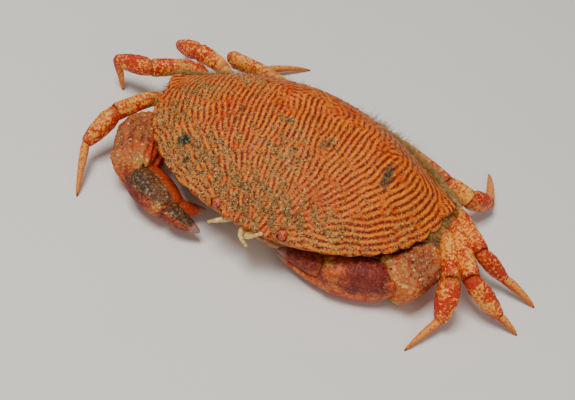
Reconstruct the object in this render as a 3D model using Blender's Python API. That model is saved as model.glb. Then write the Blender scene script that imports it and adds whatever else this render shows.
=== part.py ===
"""A young red rock crab at rest, life size, in metres.

The crab faces -Y, its left side is +X and +Z is up. The origin lies on the floor under the middle of the
body, where the flat of the folded abdomen rests. Every plate of the shell is its own solid, and each limb
segment sits with its narrow root in a socket of the segment that carries it.
"""

import math

import bmesh
import bpy
import numpy as np
from mathutils import Matrix, Vector

MM = 0.001
UP = Vector((0, 0, 1))

# Gap kept between neighbouring solids, and the merge distance for welded points
GAP = 0.3 * MM
WELD = 0.001 * MM

# Carapace: the whole shell follows from its width
SHELL_WIDTH = 60 * MM
HALF_WIDTH = SHELL_WIDTH / 2
MARGIN_HEIGHT = 0.210 * SHELL_WIDTH
DOME_RISE = 0.143 * SHELL_WIDTH
WIDEST_Y = 0.053 * SHELL_WIDTH
FRONT_Y = -0.362 * SHELL_WIDTH
REAR_Y = 0.266 * SHELL_WIDTH
REAR_HALF_WIDTH = 0.145 * SHELL_WIDTH
REAR_DROP = 0.043 * SHELL_WIDTH
BELLY_TOP = 0.092 * SHELL_WIDTH
EDGE_THICKNESS = 0.4 * MM
ARC_POWER = 2.26
MIDDLE_Y = 2.0 * MM

# Teeth along the rim of the carapace
SIDE_TEETH = 9
SIDE_TOOTH_REACH = (0.45 * MM, 0.8 * MM)
FRONT_TOOTH_REACH = 0.6 * MM
FRONT_TOOTH_PITCH = 2.1 * MM
REAR_BULGE = 1.3 * MM

# Eyes, and the orbits they sit in
EYE_RADIUS = 1.05 * MM
EYE_PLACE = Vector((6.5, -20.1, 12.0)) * MM
ORBIT_RADII = Vector((1.6, 1.75, 1.4)) * MM

COLOURS = {
    "shell": (0.62, 0.16, 0.04, 1.0),
    "limb": (0.66, 0.17, 0.06, 1.0),
    "claw": (0.36, 0.07, 0.05, 1.0),
    "tip": (0.60, 0.27, 0.08, 1.0),
    "under": (0.72, 0.52, 0.34, 1.0),
    "eye": (0.35, 0.05, 0.03, 1.0),
    "feeler": (0.68, 0.55, 0.30, 1.0),
}
ROUGHNESS = 0.55
SHARP_ANGLE = math.radians(55)


def clear_scene():
    for obj in list(bpy.data.objects):
        bpy.data.objects.remove(obj, do_unlink=True)


def collection_named(name):
    made = bpy.data.collections.new(name)
    bpy.context.scene.collection.children.link(made)
    return made


def material_named(name):
    made = bpy.data.materials.new(name)
    made.use_nodes = True
    shader = made.node_tree.nodes["Principled BSDF"]
    shader.inputs["Base Color"].default_value = COLOURS[name]
    shader.inputs["Roughness"].default_value = ROUGHNESS
    shader.inputs["Metallic"].default_value = 0.0
    return made


clear_scene()
CRAB = collection_named("red_rock_crab")
CUTTERS = collection_named("cutters")
MATERIALS = {name: material_named(name) for name in COLOURS}


# Closed skins over rings of points


def object_from(bm, name, finish):
    """A named object of the crab from a closed bmesh, in triangles so that cuts follow the same skin."""
    bmesh.ops.remove_doubles(bm, verts=bm.verts, dist=WELD)
    bmesh.ops.recalc_face_normals(bm, faces=bm.faces)
    bmesh.ops.triangulate(bm, faces=bm.faces)
    if bm.calc_volume(signed=True) < 0:
        bmesh.ops.reverse_faces(bm, faces=bm.faces)
    mesh = bpy.data.meshes.new(name)
    bm.to_mesh(mesh)
    bm.free()
    mesh.materials.append(MATERIALS[finish])
    obj = bpy.data.objects.new(name, mesh)
    CRAB.objects.link(obj)
    return obj


def bridge(bm, near, far):
    """Faces between two closed rows of points, of which one may have half as many as the other."""
    if len(near) == len(far):
        for i, vert in enumerate(near):
            j = (i + 1) % len(near)
            bm.faces.new((vert, near[j], far[j], far[i]))
        return
    many, few = (near, far) if len(near) > len(far) else (far, near)
    for i, vert in enumerate(few):
        after = few[(i + 1) % len(few)]
        a, b, c = many[2 * i], many[2 * i + 1], many[(2 * i + 2) % len(many)]
        for face in ((vert, a, b), (vert, b, after), (b, c, after)):
            bm.faces.new(face)


def loft(name, finish, rings):
    """A closed skin over a row of rings, capped at both ends."""
    bm = bmesh.new()
    rows = [[bm.verts.new(point) for point in ring] for ring in rings]
    for near, far in zip(rows, rows[1:]):
        bridge(bm, near, far)
    bm.faces.new(rows[0][::-1])
    bm.faces.new(rows[-1])
    return object_from(bm, name, finish)


def oval(centre, across, top, half_width, half_height, sides, power=2.0):
    """A ring of points on a superellipse: power 2 is an ellipse, more is boxier."""
    ring = []
    for i in range(sides):
        angle = 2 * math.pi * (i + 0.5) / sides
        c, s = math.cos(angle), math.sin(angle)
        x = math.copysign(abs(c) ** (2 / power), c) * half_width
        y = math.copysign(abs(s) ** (2 / power), s) * half_height
        ring.append(centre + across * x + top * y)
    return ring


def sweep(name, finish, path, sizes, up=UP, sides=8, power=2.2):
    """Ovals along a path, each square to it. Sizes are (half width, half height) in metres."""
    rings, last = [], None
    for i, (centre, size) in enumerate(zip(path, sizes)):
        along = Vector()
        if i:
            along += (centre - path[i - 1]).normalized()
        if i < len(path) - 1:
            along += (path[i + 1] - centre).normalized()
        across = along.normalized().cross(up).normalized()
        if last and across.dot(last) < 0:
            across = -across
        last = across
        rings.append(oval(centre, across, across.cross(along.normalized()), *size, sides, power))
    return loft(name, finish, rings)


# Share of the width and height that the buried root of a segment has at its deep end and at the joint
ROOT_DEPTH = 0.9 * MM
ROOT_SHARE = 0.55


def segment(name, finish, before, start, end, stations, up=UP, sides=8, power=2.2, bow=0.0, size=1.0):
    """One limb segment from joint to joint, with a narrow root that points back into its carrier.

    before is the direction of the carrier. Each station is (share of the length, half width, half
    height) in millimetres. bow lifts the middle of the segment, as a share of the length.
    """
    length = (end - start).length
    along = (end - start) / length
    top = along.cross(up).normalized().cross(along)
    _, first_width, first_height = stations[0]
    root = ROOT_SHARE * size * MM
    path = [start - before.normalized() * ROOT_DEPTH * size]
    sizes = [(first_width * root, first_height * root)]
    for share, half_width, half_height in stations:
        t = min(max(share, 0.0), 1.0)
        path.append(start + along * (share * length) + top * (bow * length * 4 * t * (1 - t)))
        sizes.append((half_width * size * MM, half_height * size * MM))
    return sweep(name, finish, path, sizes, up, sides, power)


def ball(name, finish, centre, radii, rings=6, sides=8):
    bm = bmesh.new()
    bmesh.ops.create_uvsphere(bm, u_segments=sides, v_segments=rings, radius=1.0)
    bmesh.ops.scale(bm, verts=bm.verts, vec=radii)
    bmesh.ops.translate(bm, verts=bm.verts, vec=centre)
    return object_from(bm, name, finish)


# Joining, cutting and clearing


def keep_largest(obj):
    """Drops every closed surface of the object but the one that holds most volume."""
    bm = bmesh.new()
    bm.from_mesh(obj.data)
    left, shells = set(bm.faces), []
    while left:
        stack = [left.pop()]
        shell = set(stack)
        while stack:
            for edge in stack.pop().edges:
                for face in edge.link_faces:
                    if face in left:
                        left.discard(face)
                        shell.add(face)
                        stack.append(face)
        shells.append(shell)

    def volume(shell):
        return sum(
            face.calc_center_median().dot(face.normal) * face.calc_area() for face in shell
        )

    best = max(shells, key=volume)
    bmesh.ops.delete(bm, geom=[f for f in bm.faces if f not in best], context="FACES")
    bm.to_mesh(obj.data)
    bm.free()


def boolean(obj, operation, others):
    """Applies one Boolean with a collection of closed mesh objects, and removes them.

    The manifold solver is used because the exact one leaves open edges on the carapace and the thorax.
    """
    for other in others:
        for holder in list(other.users_collection):
            holder.objects.unlink(other)
        CUTTERS.objects.link(other)
    modifier = obj.modifiers.new(operation.lower(), "BOOLEAN")
    modifier.operation = operation
    modifier.solver = "MANIFOLD"
    modifier.operand_type = "COLLECTION"
    modifier.collection = CUTTERS
    graph = bpy.context.evaluated_depsgraph_get()
    mesh = bpy.data.meshes.new_from_object(obj.evaluated_get(graph))
    obj.modifiers.clear()
    finish = obj.data.materials[0]
    obj.data = mesh
    mesh.name = obj.name
    mesh.materials.clear()
    mesh.materials.append(finish)
    for other in others:
        bpy.data.objects.remove(other, do_unlink=True)
    keep_largest(obj)
    return obj


def grown(obj, distance=GAP):
    """A copy of the object with every face moved outwards by the distance."""
    bm = bmesh.new()
    bm.from_mesh(obj.data)
    bm.normal_update()
    moves = []
    for vert in bm.verts:
        normals = np.array([face.normal[:] for face in vert.link_faces])
        move = np.linalg.lstsq(normals, np.full(len(normals), distance), rcond=0.15)[0]
        length = np.linalg.norm(move)
        moves.append(Vector(move * min(1.0, 2.2 * distance / length)))
    for vert, move in zip(bm.verts, moves):
        vert.co += move
    mesh = bpy.data.meshes.new(obj.name + "_grown")
    bm.to_mesh(mesh)
    bm.free()
    made = bpy.data.objects.new(mesh.name, mesh)
    CUTTERS.objects.link(made)
    return made


def join(obj, *others):
    return boolean(obj, "UNION", others)


def clear(obj, *others):
    """Cuts the object back so that it stands the gap away from each of the others."""
    return boolean(obj, "DIFFERENCE", [grown(other) for other in others])


def trim_at_floor(obj):
    """Cuts the object off at the floor, which leaves the small flat it stands on."""
    bm = bmesh.new()
    bm.from_mesh(obj.data)
    geometry = bm.verts[:] + bm.edges[:] + bm.faces[:]
    bmesh.ops.bisect_plane(
        bm, geom=geometry, dist=WELD, plane_co=(0, 0, 0), plane_no=UP, clear_inner=True
    )
    bmesh.ops.holes_fill(bm, edges=[e for e in bm.edges if e.is_boundary], sides=0)
    bmesh.ops.recalc_face_normals(bm, faces=bm.faces)
    bm.to_mesh(obj.data)
    bm.free()
    return obj


def placed(point, side=1):
    """A point given in millimetres for the left of the crab, on the side asked for, in metres."""
    return Vector((point[0] * side, point[1], point[2])) * MM


# Rim of the carapace


def arc_point(angle):
    """The front quarter of the rim, from the middle of the front at 0 to the widest point at 90 degrees."""
    power = 2 / ARC_POWER
    widest = HALF_WIDTH - SIDE_TOOTH_REACH[1]
    x = widest * math.sin(angle) ** power
    y = WIDEST_Y + (FRONT_Y - WIDEST_Y) * max(math.cos(angle), 0.0) ** power
    return Vector((x, y, 0))


def arc_angle_at(x):
    return math.asin((x / HALF_WIDTH) ** (ARC_POWER / 2))


def outward(point):
    """Away from the middle of the shell, level."""
    return (point - Vector((0, WIDEST_Y, 0))).normalized()


def front_rim():
    """Left half of the front edge with its teeth, out past the orbit: (base point, reach)."""
    marks = [(0.0, 1.0), (0.5, -0.1), (1.0, 1.0), (1.5, -0.1), (2.05, 0.9), (2.5, 0.0)]
    marks += [(3.1, -0.6), (3.8, -0.2), (4.3, 0.8)]
    rim = []
    for share, reach in marks:
        x = share * FRONT_TOOTH_PITCH
        base = arc_point(arc_angle_at(x)) if x else Vector((0, FRONT_Y, 0))
        rim.append((base, reach * FRONT_TOOTH_REACH))
    return rim


def side_rim():
    """The toothed arc from the orbit to the widest point, where the last and sharpest tooth ends."""
    start = arc_angle_at(4.6 * FRONT_TOOTH_PITCH)
    rim = []
    for tooth in range(SIDE_TEETH):
        growth = tooth / (SIDE_TEETH - 1)
        reach = SIDE_TOOTH_REACH[0] + growth * (SIDE_TOOTH_REACH[1] - SIDE_TOOTH_REACH[0])
        last = tooth == SIDE_TEETH - 1
        profile = ((0.0, -0.15), (0.5, 0.55), (1.0, 1.0)) if last else ((0.0, -0.1), (0.3, 1.0), (0.7, 0.7))
        for share, height in profile:
            angle = start + (math.pi / 2 - start) * (tooth + share) / SIDE_TEETH
            rim.append((arc_point(angle), reach * height))
    return rim


def rear_rim(count=7):
    """From behind the widest point in to the rear edge of the shell and along it to the midline."""
    corner = Vector((HALF_WIDTH - SIDE_TOOTH_REACH[1], WIDEST_Y, 0))
    rear = Vector((REAR_HALF_WIDTH, REAR_Y, 0))
    bulge = Vector((0.54, 0.84, 0)) * REAR_BULGE
    rim = []
    for i in range(1, count + 1):
        share = (i + 0.2) / (count + 0.2)
        rim.append((corner.lerp(rear, share) + bulge * math.sin(math.pi * share), 0.0))
    rim.append((Vector((REAR_HALF_WIDTH * 0.5, REAR_Y - 0.1 * MM, 0)), 0.0))
    rim.append((Vector((0, REAR_Y - 0.3 * MM, 0)), 0.0))
    return rim


def full_rim():
    """(base point, reach) all round, from the front midline over the left side and back."""
    half = front_rim() + side_rim() + rear_rim()
    mirrored = [(Vector((-p.x, p.y, 0)), reach) for p, reach in reversed(half[1:-1])]
    return half + mirrored


def rim_height(y):
    """The rim is nearly level in front and falls towards the rear edge."""
    if y > WIDEST_Y:
        return MARGIN_HEIGHT - REAR_DROP * (y - WIDEST_Y) / (REAR_Y - WIDEST_Y)
    return MARGIN_HEIGHT - 0.7 * MM * ((WIDEST_Y - y) / (WIDEST_Y - FRONT_Y)) ** 2


# Carapace


# Swellings of the shell over the organs: (x, y, reach in x, reach in y, height), millimetres, left half
SWELLINGS = (
    (0.0, -8.0, 9.0, 7.0, 0.55),
    (0.0, 8.5, 5.0, 4.5, 0.45),
    (15.0, 3.5, 7.5, 7.0, 0.75),
    (18.5, -7.0, 5.0, 4.0, 0.35),
    (0.0, 1.4, 11.0, 1.4, -0.35),
)

# Underside from the rim inward: share of the way, fall below the rim in front and at the sides, millimetres
UNDERSIDE = (
    (0.97, 1.6, 0.85),
    (0.91, 3.4, 1.25),
    (0.80, 5.1, 1.95),
    (0.60, 5.9, 3.4),
    (0.42, 7.0, 5.8),
    (0.34, 7.0, 7.0),
)
FACE_HALF_WIDTH = (8.0 * MM, 15.0 * MM)

# Rings of the dome as shares of the way out from the middle, and how many rim points each one keeps
DOME_RINGS = ((1.0, 1), (0.975, 1), (0.92, 2), (0.84, 2), (0.72, 2), (0.57, 2), (0.4, 4), (0.2, 4))


def relief(x, y):
    total = 0.0
    for sx, sy, rx, ry, height in SWELLINGS:
        for mirror in (1, -1) if sx else (1,):
            dx, dy = (x / MM - mirror * sx) / rx, (y / MM - sy) / ry
            total += height * MM * math.exp(-dx * dx - dy * dy)
    return total


def dome_height(base, share, x, y):
    rise = DOME_RISE * (1 - share**2.4) + relief(x, y) * (1 - share**4)
    return MARGIN_HEIGHT + (rim_height(base.y) - MARGIN_HEIGHT) * share**2 + rise


def underside_height(base, front_fall, side_fall):
    """The face falls steeply between the orbits; at the sides the shell stays high above the legs."""
    near, far = FACE_HALF_WIDTH
    sideways = min(max((abs(base.x) - near) / (far - near), 0.0), 1.0) if base.y < 0 else 1.0
    fall = front_fall + (side_fall - front_fall) * sideways
    return max(rim_height(base.y) - EDGE_THICKNESS - fall * MM, BELLY_TOP)


def build_carapace():
    rim = full_rim()
    middle = Vector((0, MIDDLE_Y, 0))

    def ring(share, step, height_of):
        points = []
        for base, reach in rim[::step]:
            fade = max(0.0, (share - 0.95) / 0.05)
            level = middle + (base - middle) * share + outward(base) * (reach * fade)
            points.append(Vector((level.x, level.y, height_of(base, level))))
        return points

    rings = []
    for share, front_fall, side_fall in reversed(UNDERSIDE):
        step = 1 if share > 0.95 else 2
        rings.append(ring(share, step, lambda base, level: underside_height(base, front_fall, side_fall)))
    for share, step in DOME_RINGS:
        rings.append(ring(share, step, lambda base, level: dome_height(base, share, level.x, level.y)))
    return loft("carapace", "shell", rings)


def orbit(side):
    """The hollow of one eye."""
    place = placed(EYE_PLACE / MM, side)
    return ball("orbit", "shell", place - Vector((0, 0.25 * MM, 0)), ORBIT_RADII, 6, 10)


# Thorax, abdomen and mouth


def build_thorax(coxae):
    """The sternal plates, with the short root of every limb fused to their sides."""
    levels = ((0.0, 8.2, 9.2), (0.6, 9.4, 10.4), (2.4, 10.6, 11.6), (4.2, 10.6, 11.8), (5.2, 9.6, 11.2))
    rings = [
        oval(Vector((0, 1.0, z)) * MM, Vector((1, 0, 0)), Vector((0, 1, 0)), a * MM, b * MM, 20, 2.6)
        for z, a, b in levels
    ]
    return join(loft("thorax", "under", rings), *coxae)


# Abdomen along its middle line: (y, z, half width), millimetres, and its section in shares of both halves
ABDOMEN_LINE = (
    (-6.5, 0.7, 0.8),
    (-5.2, 0.7, 1.7),
    (-1.0, 0.7, 2.3),
    (6.0, 0.7, 3.7),
    (10.0, 0.7, 4.8),
    (12.6, 1.0, 5.0),
    (14.4, 2.6, 5.1),
    (15.1, 4.6, 5.0),
    (15.1, 7.0, 4.6),
)
ABDOMEN_SECTION = ((1, -0.5), (0.92, -1), (-0.92, -1), (-1, -0.5), (-0.85, 0.8), (0.0, 1.1), (0.85, 0.8))
ABDOMEN_HALF_THICKNESS = 0.7


def build_abdomen():
    """The abdomen is folded forward under the body and lies in a groove of the thorax."""
    rings = []
    for i, (y, z, half_width) in enumerate(ABDOMEN_LINE):
        before, after = ABDOMEN_LINE[max(i - 1, 0)], ABDOMEN_LINE[min(i + 1, len(ABDOMEN_LINE) - 1)]
        along = Vector((0, after[0] - before[0], after[1] - before[1])).normalized()
        if y <= 10:
            along = Vector((0, 1, 0))
        top = Vector((1, 0, 0)).cross(along)
        rings.append(
            [
                (Vector((half_width * u, y, z)) + top * (ABDOMEN_HALF_THICKNESS * v)) * MM
                for u, v in ABDOMEN_SECTION
            ]
        )
    return loft("abdomen", "under", rings)


# Outer maxilliped: (share of the length, half width, half height), millimetres
MAXILLIPED = (
    (0.0, 1.2, 0.45),
    (0.08, 1.6, 0.6),
    (0.5, 1.7, 0.65),
    (0.62, 1.4, 0.45),
    (0.7, 1.5, 0.6),
    (0.92, 1.2, 0.5),
    (1.0, 0.7, 0.3),
)


def build_mouth(side, tag):
    """The outer maxilliped, a jointed plate that closes half of the mouth frame."""
    start, end = placed((1.95, -11.8, 2.4), side), placed((1.85, -18.6, 5.8), side)
    path = [start.lerp(end, share) for share, _, _ in MAXILLIPED]
    sizes = [(half_width * MM, half_height * MM) for _, half_width, half_height in MAXILLIPED]
    return sweep("maxilliped_" + tag, "under", path, sizes, UP, 8, 2.8)


# Middle lines of the feelers, and the half width at each of their points, millimetres
ANTENNULES = {
    "left": ((0.9, -20.2, 9.6), (0.7, -21.5, 9.7), (0.9, -22.8, 10.3), (3.8, -22.8, 13.2)),
    "right": ((-0.9, -20.2, 9.6), (-0.7, -21.5, 9.7), (-0.3, -22.6, 9.6), (1.5, -23.2, 8.2)),
}
ANTENNULE_RADII = (0.5, 0.55, 0.45, 0.27)
ANTENNAE = {
    "left": ((3.5, -19.6, 9.7), (4.1, -20.6, 9.5), (5.1, -21.0, 9.1), (7.2, -20.6, 8.5)),
    "right": ((-3.5, -19.6, 9.9), (-4.0, -20.8, 10.0), (-4.9, -21.5, 10.0), (-7.6, -22.6, 9.4)),
}
ANTENNA_RADII = (0.6, 0.7, 0.5, 0.27)
STALK_ROOT = (4.9, -18.6, 11.6)
STALK = ((0.0, 0.6), (0.5, 0.62), (0.95, 0.72))


def feeler(name, points, radii):
    sizes = [(radius * MM, radius * MM) for radius in radii]
    return sweep(name, "feeler", [placed(point) for point in points], sizes, UP, 6, 2.0)


def build_head(side, tag):
    """Eye, stalk, antenna and antennule of one side."""
    place = placed(EYE_PLACE / MM, side)
    eye = ball("eye_" + tag, "eye", place, Vector((1, 1, 1)) * EYE_RADIUS, 8, 10)
    root = placed(STALK_ROOT, side)
    path = [root.lerp(place, share) for share, _ in STALK]
    stalk = sweep("eyestalk_" + tag, "limb", path, [(r * MM, r * MM) for _, r in STALK], UP, 7, 2.0)
    clear(stalk, eye)
    antenna = feeler("antenna_" + tag, ANTENNAE[tag], ANTENNA_RADII)
    antennule = feeler("antennule_" + tag, ANTENNULES[tag], ANTENNULE_RADII)
    return [eye, stalk, antenna, antennule]


# Walking legs


# Shape of each leg segment: (share of the length, half width, half height), millimetres
MERUS = (
    (0.0, 0.75, 0.9),
    (0.1, 1.1, 1.45),
    (0.45, 1.25, 1.9),
    (0.8, 1.35, 1.95),
    (0.93, 1.35, 1.75),
    (1.0, 1.2, 1.5),
)
CARPUS = (
    (0.0, 0.95, 1.1),
    (0.14, 1.15, 1.4),
    (0.55, 1.45, 1.7),
    (0.86, 1.6, 1.9),
    (1.0, 1.4, 1.65),
)
PROPODUS = (
    (0.0, 1.1, 1.3),
    (0.13, 1.5, 1.75),
    (0.45, 1.7, 2.0),
    (0.8, 1.4, 1.65),
    (0.94, 1.15, 1.35),
    (1.0, 0.95, 1.1),
)
DACTYL = (
    (0.0, 0.6, 0.65),
    (0.12, 0.95, 1.05),
    (0.45, 0.75, 0.85),
    (0.8, 0.48, 0.54),
    (1.03, 0.27, 0.28),
)

# Joints of each leg in millimetres: start of the coxa, root of the merus, knee, wrist, ankle and tip.
# The points of both sides are given with x away from the midline.
LEGS = {
    "left_1": (
        (8.8, -4.4, 2.8), (12.4, -5.0, 4.2), (30.7, -1.8, 9.5),
        (35.3, -11.0, 9.6), (36.6, -14.4, 2.8), (33.3, -22.0, 0.0),
    ),
    "left_2": (
        (9.4, -0.6, 2.8), (13.0, -0.7, 4.2), (31.1, 1.6, 9.1),
        (38.4, -8.4, 9.1), (45.2, -8.1, 3.2), (49.7, -7.8, 0.0),
    ),
    "left_3": (
        (9.2, 3.6, 2.8), (12.8, 4.0, 4.2), (29.9, 5.5, 9.0),
        (37.8, -1.5, 8.9), (43.4, -0.3, 3.9), (50.6, -0.1, 0.0),
    ),
    "left_4": (
        (7.2, 8.6, 3.2), (11.6, 17.0, 7.6), (26.4, 11.0, 9.0),
        (31.2, 11.0, 7.2), (34.8, 16.8, 2.8), (31.7, 27.3, 0.0),
    ),
    "right_1": (
        (8.8, -4.4, 2.8), (12.4, -5.0, 4.2), (30.9, -2.0, 9.6),
        (34.9, -10.0, 9.8), (37.2, -16.4, 5.5), (33.6, -24.6, 0.0),
    ),
    "right_2": (
        (9.4, -0.6, 2.8), (13.0, -0.3, 4.2), (28.4, 10.2, 9.4),
        (36.3, 4.8, 9.6), (44.9, 5.2, 7.0), (43.1, 4.7, 0.0),
    ),
    "right_3": (
        (9.2, 3.6, 2.8), (12.4, 5.0, 4.2), (24.6, 13.6, 9.2),
        (31.1, 14.9, 9.3), (37.4, 17.2, 6.5), (38.0, 24.6, 0.0),
    ),
    "right_4": (
        (7.2, 8.6, 3.2), (11.0, 17.8, 8.0), (25.4, 18.0, 8.8),
        (25.6, 21.6, 4.4), (20.9, 25.6, 2.0), (13.3, 33.8, 0.0),
    ),
}

# Scale of merus, carpus, propodus and dactyl of each leg
LEG_SIZES = {
    "left_1": (1.0, 1.0, 1.3, 1.05),
    "left_2": (1.0, 1.05, 0.95, 0.95),
    "left_3": (0.95, 0.9, 0.8, 0.95),
    "left_4": (0.9, 1.05, 1.1, 1.0),
    "right_1": (1.0, 1.0, 1.05, 1.0),
    "right_2": (1.0, 1.05, 1.05, 1.0),
    "right_3": (0.95, 1.1, 1.0, 0.95),
    "right_4": (0.95, 0.85, 0.85, 0.95),
}
COXA = ((-0.25, 1.1, 1.2), (0.35, 1.5, 1.6), (1.1, 1.25, 1.4))


def coxa_of(name, start, end, size=1.0):
    """The short root of a limb, which the thorax takes over."""
    path = [start.lerp(end, share) for share, _, _ in COXA]
    sizes = [(half_width * size * MM, half_height * size * MM) for _, half_width, half_height in COXA]
    return sweep("coxa_" + name, "under", path, sizes)


def build_leg(name, joints):
    """The coxa and the four free segments of one leg."""
    side = 1 if name.startswith("left") else -1
    coxa_at, root, knee, wrist, ankle, tip = (placed(point, side) for point in joints)
    scales = LEG_SIZES[name]
    coxa = coxa_of(name, coxa_at, root, scales[0])
    parts = (
        ("merus_", "limb", root - coxa_at, root, knee, MERUS, 0.02),
        ("carpus_", "limb", knee - root, knee, wrist, CARPUS, 0.03),
        ("propodus_", "limb", wrist - knee, wrist, ankle, PROPODUS, 0.0),
        ("dactyl_", "tip", ankle - wrist, ankle, tip, DACTYL, 0.05),
    )
    merus, carpus, propodus, dactyl = (
        segment(kind + name, finish, before, start, end, stations, bow=bow, size=size)
        for (kind, finish, before, start, end, stations, bow), size in zip(parts, scales)
    )
    trim_at_floor(dactyl)
    clear(coxa, merus)
    clear(merus, carpus)
    clear(carpus, propodus)
    clear(propodus, dactyl)
    return coxa, [merus, carpus, propodus, dactyl]


# Claws


CLAW_MERUS = (
    (0.0, 1.2, 1.4),
    (0.06, 1.7, 2.1),
    (0.45, 2.0, 2.4),
    (0.82, 2.1, 2.5),
    (0.96, 1.8, 2.1),
)
CLAW_CARPUS = (
    (0.0, 1.9, 2.2),
    (0.1, 3.1, 3.4),
    (0.4, 4.0, 4.3),
    (0.8, 4.1, 4.5),
    (1.0, 3.5, 3.9),
    (1.08, 2.7, 3.1),
)
PALM = (
    (0.0, 1.7, 2.4),
    (0.12, 2.7, 4.0),
    (0.42, 3.3, 4.8),
    (0.7, 3.3, 4.4),
    (0.95, 2.8, 3.4),
    (1.03, 2.2, 2.7),
)
FIXED_FINGER = (
    (-0.3, 1.3, 1.2),
    (0.0, 1.8, 1.5),
    (0.3, 1.6, 1.35),
    (0.6, 1.2, 1.05),
    (0.85, 0.8, 0.7),
    (1.0, 0.4, 0.4),
)
FREE_FINGER = (
    (0.0, 1.3, 1.4),
    (0.1, 1.9, 2.05),
    (0.3, 1.85, 1.95),
    (0.6, 1.4, 1.5),
    (0.85, 0.9, 0.95),
    (1.02, 0.35, 0.4),
)
CLAW_SIZE = 1.45

# Joints of each claw in millimetres: start of the coxa, merus root, elbow, palm root and palm end
CLAWS = {
    "left": (
        (6.6, -8.2, 3.2), (10.4, -9.8, 4.4), (30.0, -5.8, 6.2),
        (26.9, -13.8, 5.4), (14.4, -18.2, 4.8),
    ),
    "right": (
        (6.6, -8.2, 3.2), (10.4, -9.8, 4.4), (30.0, -6.2, 6.9),
        (26.0, -16.8, 5.6), (15.6, -20.7, 4.7),
    ),
}

# Tips of the fixed finger, the free finger and the blunt tooth of the carpus
CLAW_TIPS = {
    "left": ((5.3, -17.9, 3.6), (5.2, -17.9, 4.5), (22.5, -11.0, 6.7)),
    "right": ((10.7, -15.8, 2.5), (8.9, -21.4, 3.2), (23.4, -18.2, 9.1)),
}

# Degrees by which the upper edge of each palm leans away from the body
PALM_LEANS = {"left": 0, "right": 58}


def finger_teeth(name, start, end, away, count=4):
    """Low rounded teeth on the edge of a finger that meets the other one."""
    teeth = []
    for i in range(count):
        share = 0.15 + 0.62 * i / (count - 1)
        radius = (0.8 - 0.35 * share) * MM
        at = start.lerp(end, share) + away * (1 - 0.7 * share)
        teeth.append(ball(f"{name}_{i}", "claw", at, Vector((1, 1, 1)) * radius, 4, 6))
    return teeth


def carpal_tooth(name, base, tip):
    """The blunt tooth at the inner end of the carpus."""
    path = [base.lerp(tip, share) for share in (0.0, 0.45, 0.85, 1.0)]
    return sweep(name, "limb", path, [(r * MM, r * MM) for r in (2.3, 1.9, 1.1, 0.5)], UP, 8, 2.0)


def build_claw(tag, joints):
    side = 1 if tag == "left" else -1
    coxa_at, root, elbow, palm_root, palm_end = (placed(point, side) for point in joints)
    low_tip, high_tip, tooth_tip = (placed(point, side) for point in CLAW_TIPS[tag])
    coxa = coxa_of("claw_" + tag, coxa_at, root, CLAW_SIZE)
    merus = segment(
        "claw_merus_" + tag, "limb", root - coxa_at, root, elbow, CLAW_MERUS, sides=10, power=2.4
    )
    carpus = segment(
        "claw_carpus_" + tag, "limb", elbow - root, elbow, palm_root, CLAW_CARPUS, sides=12, power=2.5
    )
    palm_along = (palm_end - palm_root).normalized()
    lean = -math.radians(PALM_LEANS[tag]) * side
    palm_across = palm_along.cross(UP).normalized()
    palm_up = Matrix.Rotation(lean, 3, palm_along) @ palm_across.cross(palm_along)
    palm = segment(
        "palm_" + tag, "claw", palm_root - elbow, palm_root, palm_end, PALM, palm_up, sides=12, power=2.4
    )
    low_root, high_root = palm_end - palm_up * 1.8 * MM, palm_end + palm_up * 1.1 * MM
    path = [low_root.lerp(low_tip, share) for share, _, _ in FIXED_FINGER]
    sizes = [(half_width * MM, half_height * MM) for _, half_width, half_height in FIXED_FINGER]
    fixed = sweep("fixed_finger_" + tag, "claw", path, sizes, palm_up, 10, 2.2)
    free = segment(
        "finger_" + tag, "claw", palm_along, high_root, high_tip, FREE_FINGER, palm_up, sides=10, bow=0.03
    )
    join(palm, fixed, *finger_teeth("low_tooth_" + tag, low_root, low_tip, palm_up * 1.1 * MM))
    join(free, *finger_teeth("high_tooth_" + tag, high_root, high_tip, palm_up * -1.55 * MM))
    join(carpus, carpal_tooth("tooth_" + tag, elbow.lerp(palm_root, 0.7) + UP * 1.2 * MM, tooth_tip))
    for piece in (palm, carpus):
        trim_at_floor(piece)
    clear(coxa, merus)
    clear(merus, carpus)
    clear(carpus, palm)
    clear(palm, free)
    return coxa, [merus, carpus, palm, free]


def build_crab():
    carapace = build_carapace()
    limbs, coxae = {}, []
    for name, joints in LEGS.items():
        coxa, limbs[name] = build_leg(name, joints)
        coxae.append(coxa)
    for tag, joints in CLAWS.items():
        coxa, limbs[tag] = build_claw(tag, joints)
        coxae.append(coxa)
        clear(limbs[tag][0], limbs[tag + "_1"][0])
        clear(limbs[tag][1], *limbs[tag + "_1"][:2])
    abdomen = build_abdomen()
    mouths = [build_mouth(1, "left"), build_mouth(-1, "right")]
    heads = build_head(1, "left") + build_head(-1, "right")
    clear(build_thorax(coxae), abdomen, *mouths)
    boolean(carapace, "DIFFERENCE", [orbit(1), orbit(-1)] + [grown(piece) for piece in heads])
    for obj in CRAB.objects:
        obj.data.shade_smooth()
        obj.data.set_sharp_from_angle(angle=SHARP_ANGLE)


build_crab()
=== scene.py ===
"""The dressed red rock crab: shell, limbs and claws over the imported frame, with its studio floor and light.

The crab faces -Y, its left side is +X and +Z is up. Each piece is modelled in millimetres and brought to
its own size when it is finished.
"""

import math

import bpy
import numpy as np
from mathutils import Matrix, Vector


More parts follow.
